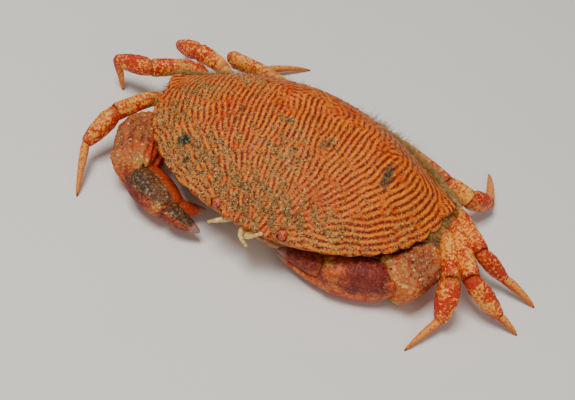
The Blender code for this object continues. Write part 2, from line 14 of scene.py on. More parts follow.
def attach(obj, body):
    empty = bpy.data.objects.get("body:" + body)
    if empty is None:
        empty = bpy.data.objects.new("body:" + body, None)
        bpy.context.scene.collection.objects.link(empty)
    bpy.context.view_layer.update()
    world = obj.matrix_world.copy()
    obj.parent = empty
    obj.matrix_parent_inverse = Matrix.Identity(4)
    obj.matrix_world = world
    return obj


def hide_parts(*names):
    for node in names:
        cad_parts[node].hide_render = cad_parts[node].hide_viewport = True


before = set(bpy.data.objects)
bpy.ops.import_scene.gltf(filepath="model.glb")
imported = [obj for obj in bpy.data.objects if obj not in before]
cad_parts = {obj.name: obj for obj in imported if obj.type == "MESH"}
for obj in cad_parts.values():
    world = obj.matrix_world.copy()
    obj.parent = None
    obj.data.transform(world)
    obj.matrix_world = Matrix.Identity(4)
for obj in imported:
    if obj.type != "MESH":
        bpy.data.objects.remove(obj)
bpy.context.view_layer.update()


# Carapace
# The one-piece roof of the back, thin hard shell that the crab grew in one moult. Its rim is cut into
# five lobes between the eyes and nine teeth down each side, and it rests on the body under it.

MM = 0.001


def bare():
    """Nothing is selected or in edit mode."""
    if bpy.context.mode != "OBJECT":
        bpy.ops.object.mode_set(mode="OBJECT")
    bpy.ops.object.select_all(action="DESELECT")


def take(piece):
    """Only this piece is selected."""
    bare()
    piece.select_set(True)
    bpy.context.view_layer.objects.active = piece


def drop(piece):
    """Takes a helper piece out of the scene."""
    bpy.data.objects.remove(piece, do_unlink=True)


def points_of(piece):
    """Where the piece's points are, one row each."""
    at = np.empty(len(piece.data.vertices) * 3)
    piece.data.vertices.foreach_get("co", at)
    return at.reshape(-1, 3)


def shape(piece, at):
    """Moves the piece's points to these places."""
    piece.data.vertices.foreach_set("co", np.ascontiguousarray(at).ravel())
    piece.data.update()


def facing(piece):
    """The way that the skin faces at every point."""
    piece.data.update()
    normals = np.empty(len(piece.data.vertices) * 3)
    piece.data.vertices.foreach_get("normal", normals)
    return normals.reshape(-1, 3)


def mark(piece, name, numbers):
    """A number for the whole piece, or one for each point, which the piece's finish reads."""
    layer = piece.data.attributes.get(name) or piece.data.attributes.new(name, "FLOAT", "POINT")
    layer.data.foreach_set("value", np.zeros(len(piece.data.vertices)) + numbers)


def apply(piece, kind, **settings):
    """Adds a modifier and applies it."""
    take(piece)
    modifier = piece.modifiers.new(kind.lower(), kind)
    for name, setting in settings.items():
        setattr(modifier, name, setting)
    bpy.ops.object.modifier_apply(modifier=modifier.name)
    return piece


def join(pieces):
    """Several meshes become one piece."""
    take(pieces[0])
    for piece in pieces:
        piece.select_set(True)
    bpy.ops.object.join()
    return bpy.context.object


def done(piece, name, finish, slot, *nodes):
    """Brings a piece from millimetres to its own size, with its finish, name and place in the frame."""
    at = points_of(piece)
    at[:, 2] = np.maximum(at[:, 2], 0.0)
    shape(piece, at)
    take(piece)
    piece.data.transform(Matrix.Scale(MM, 4))
    bpy.ops.object.shade_smooth()
    piece.name = piece.data.name = name
    piece.data.materials.clear()
    piece.data.materials.append(finish.material)
    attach(piece, "root")
    if nodes:
        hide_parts(*nodes)


def step(low, high, number):
    """0 below low, 1 above high, and a smooth rise between."""
    share = np.clip((number - low) / (high - low), 0, 1)
    return share * share * (3 - 2 * share)


def hump(number, middle, width):
    """1 at the middle, and falling to 0 on both sides of it."""
    return np.exp(-(((number - middle) / width) ** 2))


def ripples(at, size, seed, count=16):
    """A smooth random field over points, about -1 to 1, with swells of the given size."""
    chance = np.random.default_rng(seed)
    total = np.zeros(len(at))
    for _ in range(count):
        way = chance.normal(size=at.shape[1])
        way *= 2 * math.pi / size * chance.uniform(0.7, 1.4) / np.linalg.norm(way)
        total += np.sin(at @ way + chance.uniform(0, 2 * math.pi))
    return total / math.sqrt(count / 2)


def paint(red, green, blue):
    """A colour from its 0 to 255 screen values."""
    def linear(channel):
        c = channel / 255
        return c / 12.92 if c <= 0.04045 else ((c + 0.055) / 1.055) ** 2.4
    return (linear(red), linear(green), linear(blue), 1.0)


class Value:
    """A number or colour that varies over a surface. Plain expressions on numbers add their Math nodes."""

    def __init__(self, finish, socket):
        self.finish, self.socket = finish, socket

    def math(self, operation, *terms, clamp=False):
        settings = {"operation": operation, "use_clamp": clamp}
        return self.finish.node("Math", settings, dict(enumerate(terms)))

    def __add__(self, other):
        return self.math("ADD", self, other)

    def __sub__(self, other):
        return self.math("SUBTRACT", self, other)

    def __rsub__(self, other):
        return self.math("SUBTRACT", other, self)

    def __mul__(self, other):
        return self.math("MULTIPLY", self, other)

    __radd__, __rmul__ = __add__, __mul__

    def held(self):
        """Kept between 0 and 1."""
        return self.math("ADD", self, 0.0, clamp=True)

    def rise(self, low, high):
        """0 below low, 1 above high, and a smooth rise between."""
        settings = {"interpolation_type": "SMOOTHSTEP", "clamp": True}
        return self.finish.node("MapRange", settings, {0: self, 1: low, 2: high, 3: 0.0, 4: 1.0})


class Finish:
    """A surface finish: a material whose nodes all come from node()."""

    def __init__(self, name, roughness=0.5, fixed=()):
        self.material = bpy.data.materials.new(name)
        self.material.use_nodes = True
        self.tree = self.material.node_tree
        self.shader = self.tree.nodes["Principled BSDF"]
        self.shader.inputs["Roughness"].default_value = roughness
        for socket, number in dict(fixed).items():
            self.shader.inputs[socket].default_value = number

    def node(self, kind, settings, sockets, out=0):
        made = self.tree.nodes.new("ShaderNode" + kind)
        for name, setting in settings.items():
            setattr(made, name, setting)
        for socket, value in sockets.items():
            if isinstance(value, Value):
                self.tree.links.new(value.socket, made.inputs[socket])
            else:
                made.inputs[socket].default_value = value
        return Value(self, made.outputs[out])

    def place(self):
        """The place on the crab in millimetres."""
        here = self.node("TexCoord", {}, {}, "Object")
        return self.node("VectorMath", {"operation": "SCALE"}, {0: here, "Scale": 1000.0})

    def marked(self, name):
        """The numbers that mark() gave the piece."""
        return self.node("Attribute", {"attribute_name": name}, {}, "Fac")

    def noise(self, place, size, detail=3.0, rough=0.55):
        sockets = {"Vector": place, "Scale": 1 / size, "Detail": detail, "Roughness": rough}
        return self.node("TexNoise", {}, sockets, "Fac")

    def cells(self, place, size, out="Distance"):
        return self.node("TexVoronoi", {}, {"Vector": place, "Scale": 1 / size}, out)

    def cell_number(self, place, size, which):
        """A random number from 0 to 1 for every cell, one of three."""
        return self.node("SeparateColor", {}, {0: self.cells(place, size, "Color")}, which)

    def mix(self, share, under, over):
        """One colour over another, by a share from 0 to 1."""
        settings = {"data_type": "RGBA", "clamp_factor": True}
        return self.node("Mix", settings, {0: share, 6: under, 7: over}, 2)

    def wear(self, socket, value):
        """Feeds one of the shader's own sockets."""
        self.tree.links.new(value.socket, self.shader.inputs[socket])

    def rub(self, height, depth):
        """A relief, of the given depth in millimetres, on the surface."""
        self.wear("Normal", self.node("Bump", {}, {"Distance": depth * MM, "Height": height}, "Normal"))


# Sizes of the carapace, millimetres
HALF_WIDTH = 30.0
WIDEST_Y, FRONT_Y, REAR_Y = 3.18, -21.72, 15.96
REAR_HALF_WIDTH = 8.7
MARGIN_HEIGHT, REAR_DROP, DOME_RISE, BELLY_TOP = 12.6, 2.58, 8.58, 5.52
ARC_POWER = 2.26
SIDE_TEETH = 9
# Steps of the rim from the middle of the front to the side corner
FRONT_STEPS = 900
EYES = (6.5, -20.1, 12.0)
EYE_RADIUS = 1.05
EYE_HOLLOW = (1.13, 1.2, 1.12)
# Swellings of the back: middle x and y, half width and half depth, height. Those off the middle line
# stand on both sides.
SWELLINGS = (
    (0.0, -8.0, 9.0, 7.0, 0.55),
    (0.0, 8.5, 5.0, 4.5, 0.45),
    (15.0, 3.5, 7.5, 7.0, 0.75),
    (18.5, -7.0, 5.0, 4.0, 0.35),
    (0.0, 1.4, 11.0, 1.4, -0.35),
    (6.4, -12.5, 2.6, 3.4, 0.22),
    (5.6, 4.6, 2.2, 3.0, 0.2),
    (9.6, -4.0, 1.3, 6.0, -0.22),
    (24.0, -2.0, 3.0, 6.0, 0.2),
)
# Under the rim: way along the underside, share of the way out, fall in front and at the sides
UNDERSIDE = np.array((
    (0.00, 1.000, 0.00, 0.00),
    (0.05, 1.004, 0.22, 0.22),
    (0.11, 0.998, 0.45, 0.45),
    (0.20, 0.985, 1.10, 0.85),
    (0.30, 0.970, 2.00, 1.25),
    (0.45, 0.910, 3.80, 1.65),
    (0.60, 0.800, 5.50, 2.35),
    (0.72, 0.600, 6.30, 3.80),
    (0.84, 0.420, 7.40, 6.20),
    (0.92, 0.340, 7.40, 7.40),
    (1.00, 0.000, 7.40, 7.40),
))


def rim_of_left():
    """The left half of the rim from the front to the rear, as rows of x, y, tooth reach and fissure."""
    widest = HALF_WIDTH - 0.8
    angle = np.linspace(0, 1, FRONT_STEPS) ** 1.3 * math.pi / 2
    x = widest * np.sin(angle) ** (2 / ARC_POWER)
    y = WIDEST_Y + (FRONT_Y - WIDEST_Y) * np.clip(np.cos(angle), 0, 1) ** (2 / ARC_POWER)
    reach, fissure = np.zeros_like(x), np.zeros_like(x)
    lobes = [(-1.05, 1.05, 0.6), (1.05, 3.15, 0.6), (3.15, 5.2, 0.55), (8.0, 9.5, 0.5)]
    for start, end, height in lobes:
        share = np.clip((x - start) / (end - start), 0, 1)
        reach += height * np.sin(math.pi * share) ** 0.8
    reach -= 0.4 * hump(x, 6.6, 1.0) + 0.06 + 0.5 * hump(x, 10.5, 2.6)
    first = math.asin((9.6 / HALF_WIDTH) ** (ARC_POWER / 2))
    turn = (angle - first) / (math.pi / 2 - first) * SIDE_TEETH
    tooth = np.clip(np.floor(turn), 0, SIDE_TEETH - 1)
    share = np.clip(turn - tooth, 0, 1)
    height = 0.25 + 0.65 * tooth / (SIDE_TEETH - 1)
    last = tooth == SIDE_TEETH - 1
    lobe = np.where(last, np.sin(math.pi / 2 * share) ** 0.8, np.sin(math.pi * share**0.6) ** 0.6)
    reach = np.where(turn > 0, height * (1.15 * lobe - 0.2), reach)
    nearest = np.abs(turn - np.round(turn)) * 4.3
    fissure = np.where((turn > 0.5) & (turn < 8.6), hump(nearest, 0, 0.22), 0)
    share = np.linspace(0.0, 1, 400)
    bulge = 1.3 * np.sin(math.pi * share)
    rear_x = widest + (REAR_HALF_WIDTH - widest) * share + 0.54 * bulge
    rear_y = WIDEST_Y + (REAR_Y - WIDEST_Y) * share + 0.84 * bulge
    behind = 0.8 * hump(share * 33, 0, 1.1)
    end_x = np.linspace(REAR_HALF_WIDTH, 0, 120)
    end_y = REAR_Y - 0.3 * (1 - end_x / REAR_HALF_WIDTH)
    x = np.concatenate([x, rear_x[1:], end_x[1:]])
    y = np.concatenate([y, rear_y[1:], end_y[1:]])
    rest = np.zeros(len(end_x) - 1)
    reach = np.concatenate([reach, behind[1:], rest])
    fissure = np.concatenate([fissure, np.zeros(len(share) - 1), rest])
    return x, y, reach, fissure


RIM_X, RIM_Y, RIM_REACH, RIM_FISSURE = rim_of_left()
RIM_WAY = np.concatenate([[0], np.cumsum(np.hypot(np.diff(RIM_X), np.diff(RIM_Y)))])
RIM_WAY /= RIM_WAY[-1]


def rim_height(y):
    """How high the rim stands above the floor, which falls a little to the front and the rear."""
    back = MARGIN_HEIGHT - REAR_DROP * (y - WIDEST_Y) / (REAR_Y - WIDEST_Y)
    front = MARGIN_HEIGHT - 0.7 * ((WIDEST_Y - y) / (WIDEST_Y - FRONT_Y)) ** 2
    return np.where(y > WIDEST_Y, back, front)


def relief(x, y):
    """The low swellings of the back, over the organs under them."""
    total = np.zeros_like(x)
    for sx, sy, rx, ry, height in SWELLINGS:
        for side in (1, -1) if sx else (1,):
            total += height * hump(x, side * sx, rx) * hump(y, sy, ry)
    return total


SHELL_RINGS, SHELL_RIM_RING = 144, 112
bare()
bpy.ops.mesh.primitive_uv_sphere_add(segments=560, ring_count=SHELL_RINGS, radius=1)
carapace = bpy.context.object
ball = points_of(carapace)
around = np.arctan2(ball[:, 0], -ball[:, 1])
around[np.hypot(ball[:, 0], ball[:, 1]) < 1e-5] = 0
side = np.where(around < 0, -1.0, 1.0)
way = np.abs(around) / math.pi
base_x, base_y = side * np.interp(way, RIM_WAY, RIM_X), np.interp(way, RIM_WAY, RIM_Y)
round_x, round_y = np.zeros_like(base_x), np.zeros_like(base_y)
shifts = np.linspace(-0.2, 0.2, 21)
weights = hump(shifts, 0, 0.085)
for shift, weight in zip(shifts, weights / weights.sum()):
    shifted = np.mod(side * way + shift + 1, 2) - 1
    round_x += weight * np.sign(shifted) * np.interp(np.abs(shifted), RIM_WAY, RIM_X)
    round_y += weight * np.interp(np.abs(shifted), RIM_WAY, RIM_Y)
reach, fissure = np.interp(way, RIM_WAY, RIM_REACH), np.interp(way, RIM_WAY, RIM_FISSURE)
down = np.arccos(np.clip(ball[:, 2], -1, 1)) / math.pi
above = down <= SHELL_RIM_RING / SHELL_RINGS + 1e-6
from_top = np.clip(down * SHELL_RINGS / SHELL_RIM_RING, 0, 1)
under_way = np.clip((down * SHELL_RINGS - SHELL_RIM_RING) / (SHELL_RINGS - SHELL_RIM_RING), 0, 1)
share = np.where(above, 1 - (1 - from_top) ** 1.25, np.interp(under_way, UNDERSIDE[:, 0], UNDERSIDE[:, 1]))
spread = np.hypot(base_x, base_y - WIDEST_Y)
push = reach * np.clip((share - 0.95) / 0.05, 0, 1)
sharp = np.where(above, share**5, 1.0)
x = (round_x + (base_x - round_x) * sharp) * share + base_x / spread * push
y = 2.0 + (round_y + (base_y - round_y) * sharp - 2.0) * share + (base_y - WIDEST_Y) / spread * push
rim = rim_height(base_y)
dome = DOME_RISE * (1 - share**2.4) + relief(x, y) * (1 - share**4)
inwards = (1 - share) * spread
rear = step(1.0, 6.0, base_y)
dome += rear * (0.28 * hump(inwards, 0, 0.55) - 0.16 * hump(inwards, 1.5, 0.5))
dome -= 0.28 * fissure * hump(inwards, 0, 2.2)
dome += (1 - rear) * 0.12 * hump(inwards, 0.3, 0.5) * (1 - fissure)
flat = np.stack([x, y], 1)
dome += 0.05 * ripples(flat, 3.2, 4) * (1 - share**6) + 0.03 * ripples(flat, 1.3, 5)
top_z = MARGIN_HEIGHT + (rim - MARGIN_HEIGHT) * share**2 + dome
sideways = np.where(base_y < 0, np.clip((np.abs(base_x) - 8) / 7, 0, 1), 1.0)
front_fall, side_fall = (np.interp(under_way, UNDERSIDE[:, 0], UNDERSIDE[:, c]) for c in (2, 3))
low_z = np.maximum(rim - (front_fall + (side_fall - front_fall) * sideways), BELLY_TOP)
shape(carapace, np.stack([x, y, np.where(above, top_z, low_z)], 1))

# The hollows that the eyes sit in
for side_of_head in (1, -1):
    bare()
    bpy.ops.mesh.primitive_uv_sphere_add(segments=40, ring_count=24, radius=1)
    hollow = bpy.context.object
    hollow.scale = EYE_HOLLOW
    hollow.location = (EYES[0] * side_of_head, EYES[1] - 0.25, EYES[2])
    apply(carapace, "BOOLEAN", operation="DIFFERENCE", solver="MANIFOLD", object=hollow)
    drop(hollow)

# The growth lines: short strokes of stripe, each laid the way the shell grew there and then brought into
# step with its neighbours, so that the stripes keep their spacing and fork or end as real ones do
place = points_of(carapace)
x, y, z = place.T
LINE_PITCH, STROKE_SPACING, STROKE_REACH = 1.03, 1.0, 1.15
# Where the lines swirl: middle x and y, half width and half depth, how strongly
WHORLS = (
    (-4, 3.2, 2.4, 2.0, 1.0), (3, 3.6, 2.2, 1.8, 0.9), (16, 3.2, 2.0, 1.6, 1.0), (0, 8.5, 8, 4, 0.9),
    (-14, 5, 3, 3, 0.8), (9, 7, 4, 3, 0.6), (-4.5, -1, 2.5, 2, 0.5),
)
# Where silt lies thick, given in the same way
SOILED = (
    (-15, -15, 9, 5, 0.95), (-23, -9, 5, 6, 0.7), (0, -10, 6.5, 6, 0.65), (0, -18, 14, 4.5, 0.95),
    (-21, -2, 6, 3.2, 0.6), (-13, 2.5, 5, 2.2, 0.65), (14, -16.5, 9, 3.2, 0.62), (24, -8.5, 3, 6, 0.35),
    (5.8, -4.3, 1.8, 2, 0.6), (-2.6, -3.6, 2.2, 1.6, 0.7), (18, 4, 6, 1.5, 0.3), (-8, -10, 3, 6, 0.4),
)
# Dark stains: middle x and y, half width and half depth, lean, how dark
FOULED = (
    (-18.0, -13.0, 1.3, 1.1, 0.0, 1.0), (-15.7, -16.1, 0.55, 0.42, 0.0, 0.9),
    (17.6, -3.4, 0.8, 2.5, -0.06, 0.9), (-11.1, -4.5, 0.45, 0.8, 0.1, 0.75),
    (-2.3, -3.7, 0.6, 0.55, 0.0, 0.85), (6.0, -4.4, 0.6, 1.1, 0.1, 0.5),
    (-11.0, -7.0, 0.4, 0.6, 0.0, 0.6), (-10.3, -0.2, 0.5, 1.4, 0.5, 0.35),
)


def blobs(x, y, places):
    """How strongly the strongest of these spots shows at each place, 0 to 1."""
    total = np.zeros_like(x)
    for bx, by, rx, ry, amount in places:
        total = np.maximum(total, amount * hump(x, bx, rx) * hump(y, by, ry))
    return total


def line_lean(x, y):
    """How far the growth lines lean from straight ahead, clockwise seen from above, in radians."""
    ahead = np.maximum(2.2 - y, 0)
    outer = step(2.5, 16.5, np.abs(x) + 0.35 * np.maximum(-8 - y, 0))
    fan = np.minimum(2.1 * ahead + 0.065 * ahead**2, 74) * outer
    corner = step(0.55, 0.97, (0.529 * np.abs(x) + 0.847 * y) / 18.16) * step(-5, 2, y)
    rear = np.maximum(corner, step(3.2, 7.5, y) * step(16, 12, np.abs(x)))
    side_lean = fan * (1 - rear) - (58 + 32 * step(12, 5, np.abs(x))) * rear
    middle_lean = -8 * hump(x, 0, 9) * step(6, 0, y)
    flat = np.stack([x, y], 1)
    wander = 8 * ripples(flat, 6.0, 71) + 6 * ripples(flat, 2.6, 72)
    swirl = 75 * blobs(x, y, WHORLS) * ripples(flat, 4.2, 73)
    return np.radians(side_lean * np.sign(x) + middle_lean + wander + swirl)


def growth_lines(x, y):
    """From -1 between two stripes to 1 on a stripe, at each place."""
    chance = np.random.default_rng(7)
    rows = np.arange(-32, 32, STROKE_SPACING), np.arange(-23, 17.5, STROKE_SPACING)
    spot = np.stack(np.meshgrid(*rows), -1).reshape(-1, 2)
    spot = spot + chance.uniform(-0.4, 0.4, spot.shape)
    lean = line_lean(*spot.T)
    pitch = LINE_PITCH * (1 - 0.12 * step(-7, -16, spot[:, 1]))
    beat = 2 * math.pi / pitch[:, None] * np.stack([np.cos(lean), -np.sin(lean)], 1)
    phase = 2 * math.pi * spot[:, 0] / LINE_PITCH + 1.2 * ripples(spot, 4.0, 74)
    apart = spot[:, None] - spot[None]
    near = np.hypot(*apart.transpose(2, 0, 1))
    one, two = np.nonzero((near < 3.2) & (near > 0))
    pull = hump(near[one, two], 0, 1.7)
    same_way = np.where((beat[one] * beat[two]).sum(1) < 0, -1.0, 1.0)
    halfway = (beat[one] + same_way[:, None] * beat[two]) / 2
    offset = (halfway * apart[one, two]).sum(1)
    for _ in range(14):
        turn = pull * np.exp(1j * (same_way * phase[two] + offset))
        total = np.bincount(one, turn.real, len(spot)) + 1j * np.bincount(one, turn.imag, len(spot))
        phase = np.angle(total + 0.5 * np.exp(1j * phase))
    line, weight = np.zeros(len(x)), np.full(len(x), 1e-6)
    for (sx, sy), (bx, by), start in zip(spot, beat, phase):
        dx, dy = x - sx, y - sy
        close = np.nonzero((np.abs(dx) < 3) & (np.abs(dy) < 3))[0]
        dx, dy = dx[close], dy[close]
        share = np.exp(-(dx * dx + dy * dy) / (2 * STROKE_REACH**2))
        line[close] += share * np.cos(start + bx * dx + by * dy)
        weight[close] += share
    return np.clip(line / weight * 1.35, -1, 1)


def soil_at(x, y):
    """How much silt lies on the back, 0 to 1."""
    thin = 0.08 + 0.14 * step(-3, -9, y) * step(22, 10, x) + 0.22 * step(-13, -19, y)
    clumps = 1 + 0.4 * ripples(np.stack([x, y], 1), 2.4, 63)
    return np.clip(np.maximum(blobs(x, y, SOILED), thin) * clumps, 0, 1)


mark(carapace, "stripes", growth_lines(x, y))
mark(carapace, "silt", soil_at(x, y) * step(-0.1, 0.35, facing(carapace)[:, 2]))
fouled = np.zeros_like(x)
for fx, fy, rx, ry, lean, amount in FOULED:
    dx, dy = x - fx - lean * (y - fy), y - fy
    ragged = 1 + 0.1 * ripples(np.stack([x, y], 1), 0.9, 11)
    fouled = np.maximum(fouled, amount * step(1.35, 0.75, np.hypot(dx / rx, dy / ry) * ragged))
mark(carapace, "fouled", fouled)
mark(carapace, "underside", step(0.1, -0.35, facing(carapace)[:, 2]))

shell = Finish("striped_shell", roughness=0.5, fixed={"Specular IOR Level": 0.14})
here = shell.place()
grit = shell.noise(here, 0.42, 3.0, 0.7)
broken = shell.noise(here, 1.7, 3.0)
band = shell.marked("stripes")
dark = (band + (grit - 0.5) * 2.0 + (broken - 0.5) * 1.0).rise(-0.1, 0.5)
core = (band + (grit - 0.5) * 1.6).rise(0.4, 1.2)
glow = (band + (grit - 0.5) * 1.8 + (broken - 0.5) * 1.0).rise(-0.1, -1.1)
warm = shell.mix(shell.noise(here, 7.0).rise(0.35, 0.65), paint(224, 102, 10), paint(204, 74, 12))
coat = shell.mix(glow * 0.75, warm, paint(248, 150, 20))
coat = shell.mix(dark * 0.93, coat, paint(124, 34, 20))
coat = shell.mix(core * 0.8, coat, paint(88, 20, 22))
granules = shell.cells(here, 0.3)
kind = shell.cell_number(here, 0.3, 0)
# Pale yellow specks on the centres of some granules: painted highlight, glints of light on the wet grains put
# into the colour
coat = shell.mix(granules.rise(0.5, 0.2) * kind.rise(0.6, 0.85) * 0.6, coat, paint(252, 190, 96))
coat = shell.mix(granules.rise(0.55, 0.25) * kind.rise(0.3, 0.1) * 0.6, coat, paint(84, 28, 18))
tone = shell.cell_number(here, 0.3, 1)
tone_two = shell.cell_number(here, 0.3, 2)
silt = shell.marked("silt")
silt_colour = shell.mix(tone.rise(0.3, 0.7), paint(92, 64, 34), paint(174, 132, 74))
silt_colour = shell.mix(tone_two.rise(0.9, 0.95), silt_colour, paint(216, 182, 116))
silt_colour = shell.mix(tone_two.rise(0.18, 0.12), silt_colour, paint(52, 36, 22))
settled = (silt * 1.0 + (tone - 0.5) * 1.1 + (grit - 0.5) * 1.4 - 0.52).rise(0.0, 0.25)
coat = shell.mix(settled * 0.85, coat, silt_colour)
haze = (silt * 0.6 + (broken - 0.5) * 0.6).rise(0.2, 0.8)
coat = shell.mix(haze * 0.36, coat, paint(122, 78, 38))
foul_colour = shell.mix((grit + (tone - 0.5) * 0.4).rise(0.4, 0.65), paint(26, 28, 26), paint(104, 98, 66))
coat = shell.mix(shell.marked("fouled"), coat, foul_colour)
under_colour = shell.mix(broken.rise(0.4, 0.6), paint(170, 84, 36), paint(206, 140, 76))
coat = shell.mix(shell.marked("underside") * 0.8, coat, under_colour)
shell.wear("Base Color", coat)
shell.wear("Roughness", (settled * 0.3 + grit * 0.25 + 0.36).held())
height = (1 - granules * 1.3) * 0.5 + grit * 0.6 + settled * 0.3
shell.rub(height, 0.1)
done(carapace, "carapace_shell", shell, "shell", "carapace")


# Thorax
# The floor of the body: sternal plates of thin pale shell, grown together, with a socket for every limb.
# It hangs under the carapace, and its grooves show where the plates meet.

def put_in(piece):
    """Puts a new object into the scene."""
    bpy.context.scene.collection.objects.link(piece)


def cast_of(node, grain, rounds):
    """A copy of a solid of the frame in millimetres, as one even and softened skin."""
    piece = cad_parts[node].copy()
    piece.data = piece.data.copy()
    piece.parent = None
    for key in list(piece.keys()):
        del piece[key]
    put_in(piece)
    piece.data.transform(Matrix.Scale(1 / MM, 4))
    take(piece)
    bpy.ops.object.mode_set(mode="EDIT")
    bpy.ops.mesh.select_all(action="SELECT")
    bpy.ops.mesh.remove_doubles(threshold=0.001)
    bpy.ops.object.mode_set(mode="OBJECT")
    apply(piece, "REMESH", mode="VOXEL", voxel_size=grain)
    return apply(piece, "SMOOTH", factor=0.5, iterations=rounds)


STERNAL_SEAMS = (-5.8, -1.6, 2.4, 6.4)
thorax = cast_of("thorax", 0.3, 4)
place, out = points_of(thorax), facing(thorax)
grooves = np.zeros(len(place))
for plate_y in STERNAL_SEAMS:
    bent = plate_y + 0.1 * np.abs(place[:, 0])
    grooves += hump(place[:, 1], bent, 0.3)
grooves *= step(-0.1, -0.5, out[:, 2])
shape(thorax, place - out * (0.28 * grooves + 0.04 * ripples(place, 1.6, 21))[:, None])
mark(thorax, "grooves", grooves)

belly = Finish("pale_belly", roughness=0.55)
here = belly.place()
mottle = belly.noise(here, 2.6, 4.0)
fleck = belly.noise(here, 0.5, 3.0)
coat = belly.mix(mottle.rise(0.38, 0.66), paint(222, 186, 134), paint(196, 128, 76))
coat = belly.mix(fleck.rise(0.58, 0.72) * 0.6, coat, paint(176, 78, 42))
coat = belly.mix(belly.marked("grooves") * 0.7, coat, paint(122, 74, 44))
belly.wear("Base Color", coat)
belly.wear("Roughness", (fleck * 0.3 + 0.4).held())
belly.rub(fleck * 0.5 + mottle, 0.12)
done(thorax, "thorax_plates", belly, "under", "thorax")


# Abdomen
# The tail, folded forward flat under the body in its groove. Its thin plates overlap like tiles, each
# hinged to the next by soft skin.

# Seams between its plates, by the way along it from its tip and then up its rear end
TAIL_SEAMS = (-4.6, -1.2, 3.4, 7.2, 10.6, 13.6, 16.4)
abdomen = cast_of("abdomen", 0.18, 5)
place = points_of(abdomen)
off_middle = np.abs(place[:, 0]) / 5
place[:, 1] -= 1.1 * off_middle**2 * step(12.5, 14.5, place[:, 1])
place[:, 2] += 0.9 * off_middle**2.4 * step(6, 12, place[:, 1]) * step(3.5, 1.0, place[:, 2])
place[:, 0] *= 1 - 0.16 * step(5.5, 1.0, place[:, 2]) * step(11, 14, place[:, 1])
shape(abdomen, place)
out = facing(abdomen)
travel = np.where(place[:, 2] > 1.9, 13.2 + (place[:, 2] - 1.2), place[:, 1])
grooves = np.zeros(len(place))
for seam in TAIL_SEAMS:
    grooves += hump(travel, seam, 0.2)
shape(abdomen, place - out * (0.16 * grooves)[:, None])
mark(abdomen, "grooves", grooves)
done(abdomen, "abdomen_plates", belly, "under", "abdomen")


# Mouth
# The outer maxillipeds: a pair of jointed plates of pale shell that close over the mouth like doors. Each
# hangs from the front of the thorax and is crossed by the seams between its joints.

for tag in ("left", "right"):
    maxilliped = cast_of("maxilliped_" + tag, 0.13, 5)
    place, out = points_of(maxilliped), facing(maxilliped)
    way = (place[:, 1] + 11.8) / -6.8
    grooves = hump(way, 0.64, 0.03) + hump(way, 0.1, 0.02)
    grooves += 0.6 * hump(np.abs(place[:, 0]), 2.9, 0.12)
    shape(maxilliped, place - out * (0.13 * grooves)[:, None])
    mark(maxilliped, "grooves", grooves)
    done(maxilliped, "maxilliped_plate_" + tag, belly, "under", "maxilliped_" + tag)


# Eyes
# A small compound eye on a short stalk in each orbit: red, finely faceted and glossy, with a granular
# collar of shell.

eye_finish = Finish("faceted_eye", roughness=0.3, fixed={"Coat Weight": 0.25, "Coat Roughness": 0.2})
here = eye_finish.place()
facet = eye_finish.cells(here, 0.26)
kind = eye_finish.cell_number(here, 0.26, 0)
patch = eye_finish.noise(here, 0.55, 2.0)
coat = eye_finish.mix(patch.rise(0.42, 0.6), paint(190, 40, 16), paint(222, 96, 34))
coat = eye_finish.mix(facet.rise(0.3, 0.6) * 0.5, coat, paint(124, 24, 12))
coat = eye_finish.mix(kind.rise(0.6, 0.75) * facet.rise(0.5, 0.25) * 0.8, coat, paint(246, 170, 96))
eye_finish.wear("Base Color", coat)
eye_finish.rub(1 - facet, 0.08)

stalk_finish = Finish("eyestalk", roughness=0.5)
here = stalk_finish.place()
fleck = stalk_finish.noise(here, 0.35, 3.0)
coat = stalk_finish.mix(fleck.rise(0.4, 0.62), paint(212, 150, 110), paint(176, 66, 40))
stalk_finish.wear("Base Color", coat)
stalk_finish.rub(fleck, 0.1)


def grow(sides, stations):
    """A closed form drawn up from a ring: each station is (height, half width, half depth)."""
    height, width, depth = stations[0]
    bare()
    bpy.ops.mesh.primitive_circle_add(vertices=sides, radius=1, fill_type="NGON", location=(0, 0, height))
    piece = bpy.context.object
    bpy.ops.object.transform_apply(location=True)
    bpy.ops.object.mode_set(mode="EDIT")
    bpy.ops.mesh.select_all(action="SELECT")
    bpy.ops.transform.resize(value=(width, depth, 1), center_override=(0, 0, height))
    for level, half_width, half_depth in stations[1:]:
        rise = level - height
        bpy.ops.mesh.extrude_region_move(TRANSFORM_OT_translate={"value": (0, 0, rise)})
        ratio = (half_width / width, half_depth / depth, 1)
        bpy.ops.transform.resize(value=ratio, center_override=(0, 0, level))
        height, width, depth = level, half_width, half_depth
    bpy.ops.mesh.select_all(action="SELECT")
    bpy.ops.mesh.normals_make_consistent(inside=False)
    bpy.ops.object.mode_set(mode="OBJECT")
    return piece


UP = Vector((0, 0, 1))


def lay(master, start, end, size=1.0, bow=0.0, up=UP):
    """A copy of a form that was grown from height 0 to 1, laid from one joint to the next."""
    start, end = Vector(start), Vector(end)
    length = (end - start).length
    along = (end - start) / length
    across = along.cross(up).normalized()
    top = across.cross(along)
    piece = master.copy()
    piece.data = master.data.copy()
    put_in(piece)
    at = points_of(piece)
    way = np.clip(at[:, 2], 0, 1)
    at[:, 1] += bow * length / size * 4 * way * (1 - way)
    shape(piece, at)
    turned = Matrix((-across * size, top * size, along * length)).transposed().to_4x4()
    piece.data.transform(Matrix.Translation(start) @ turned)
    return piece


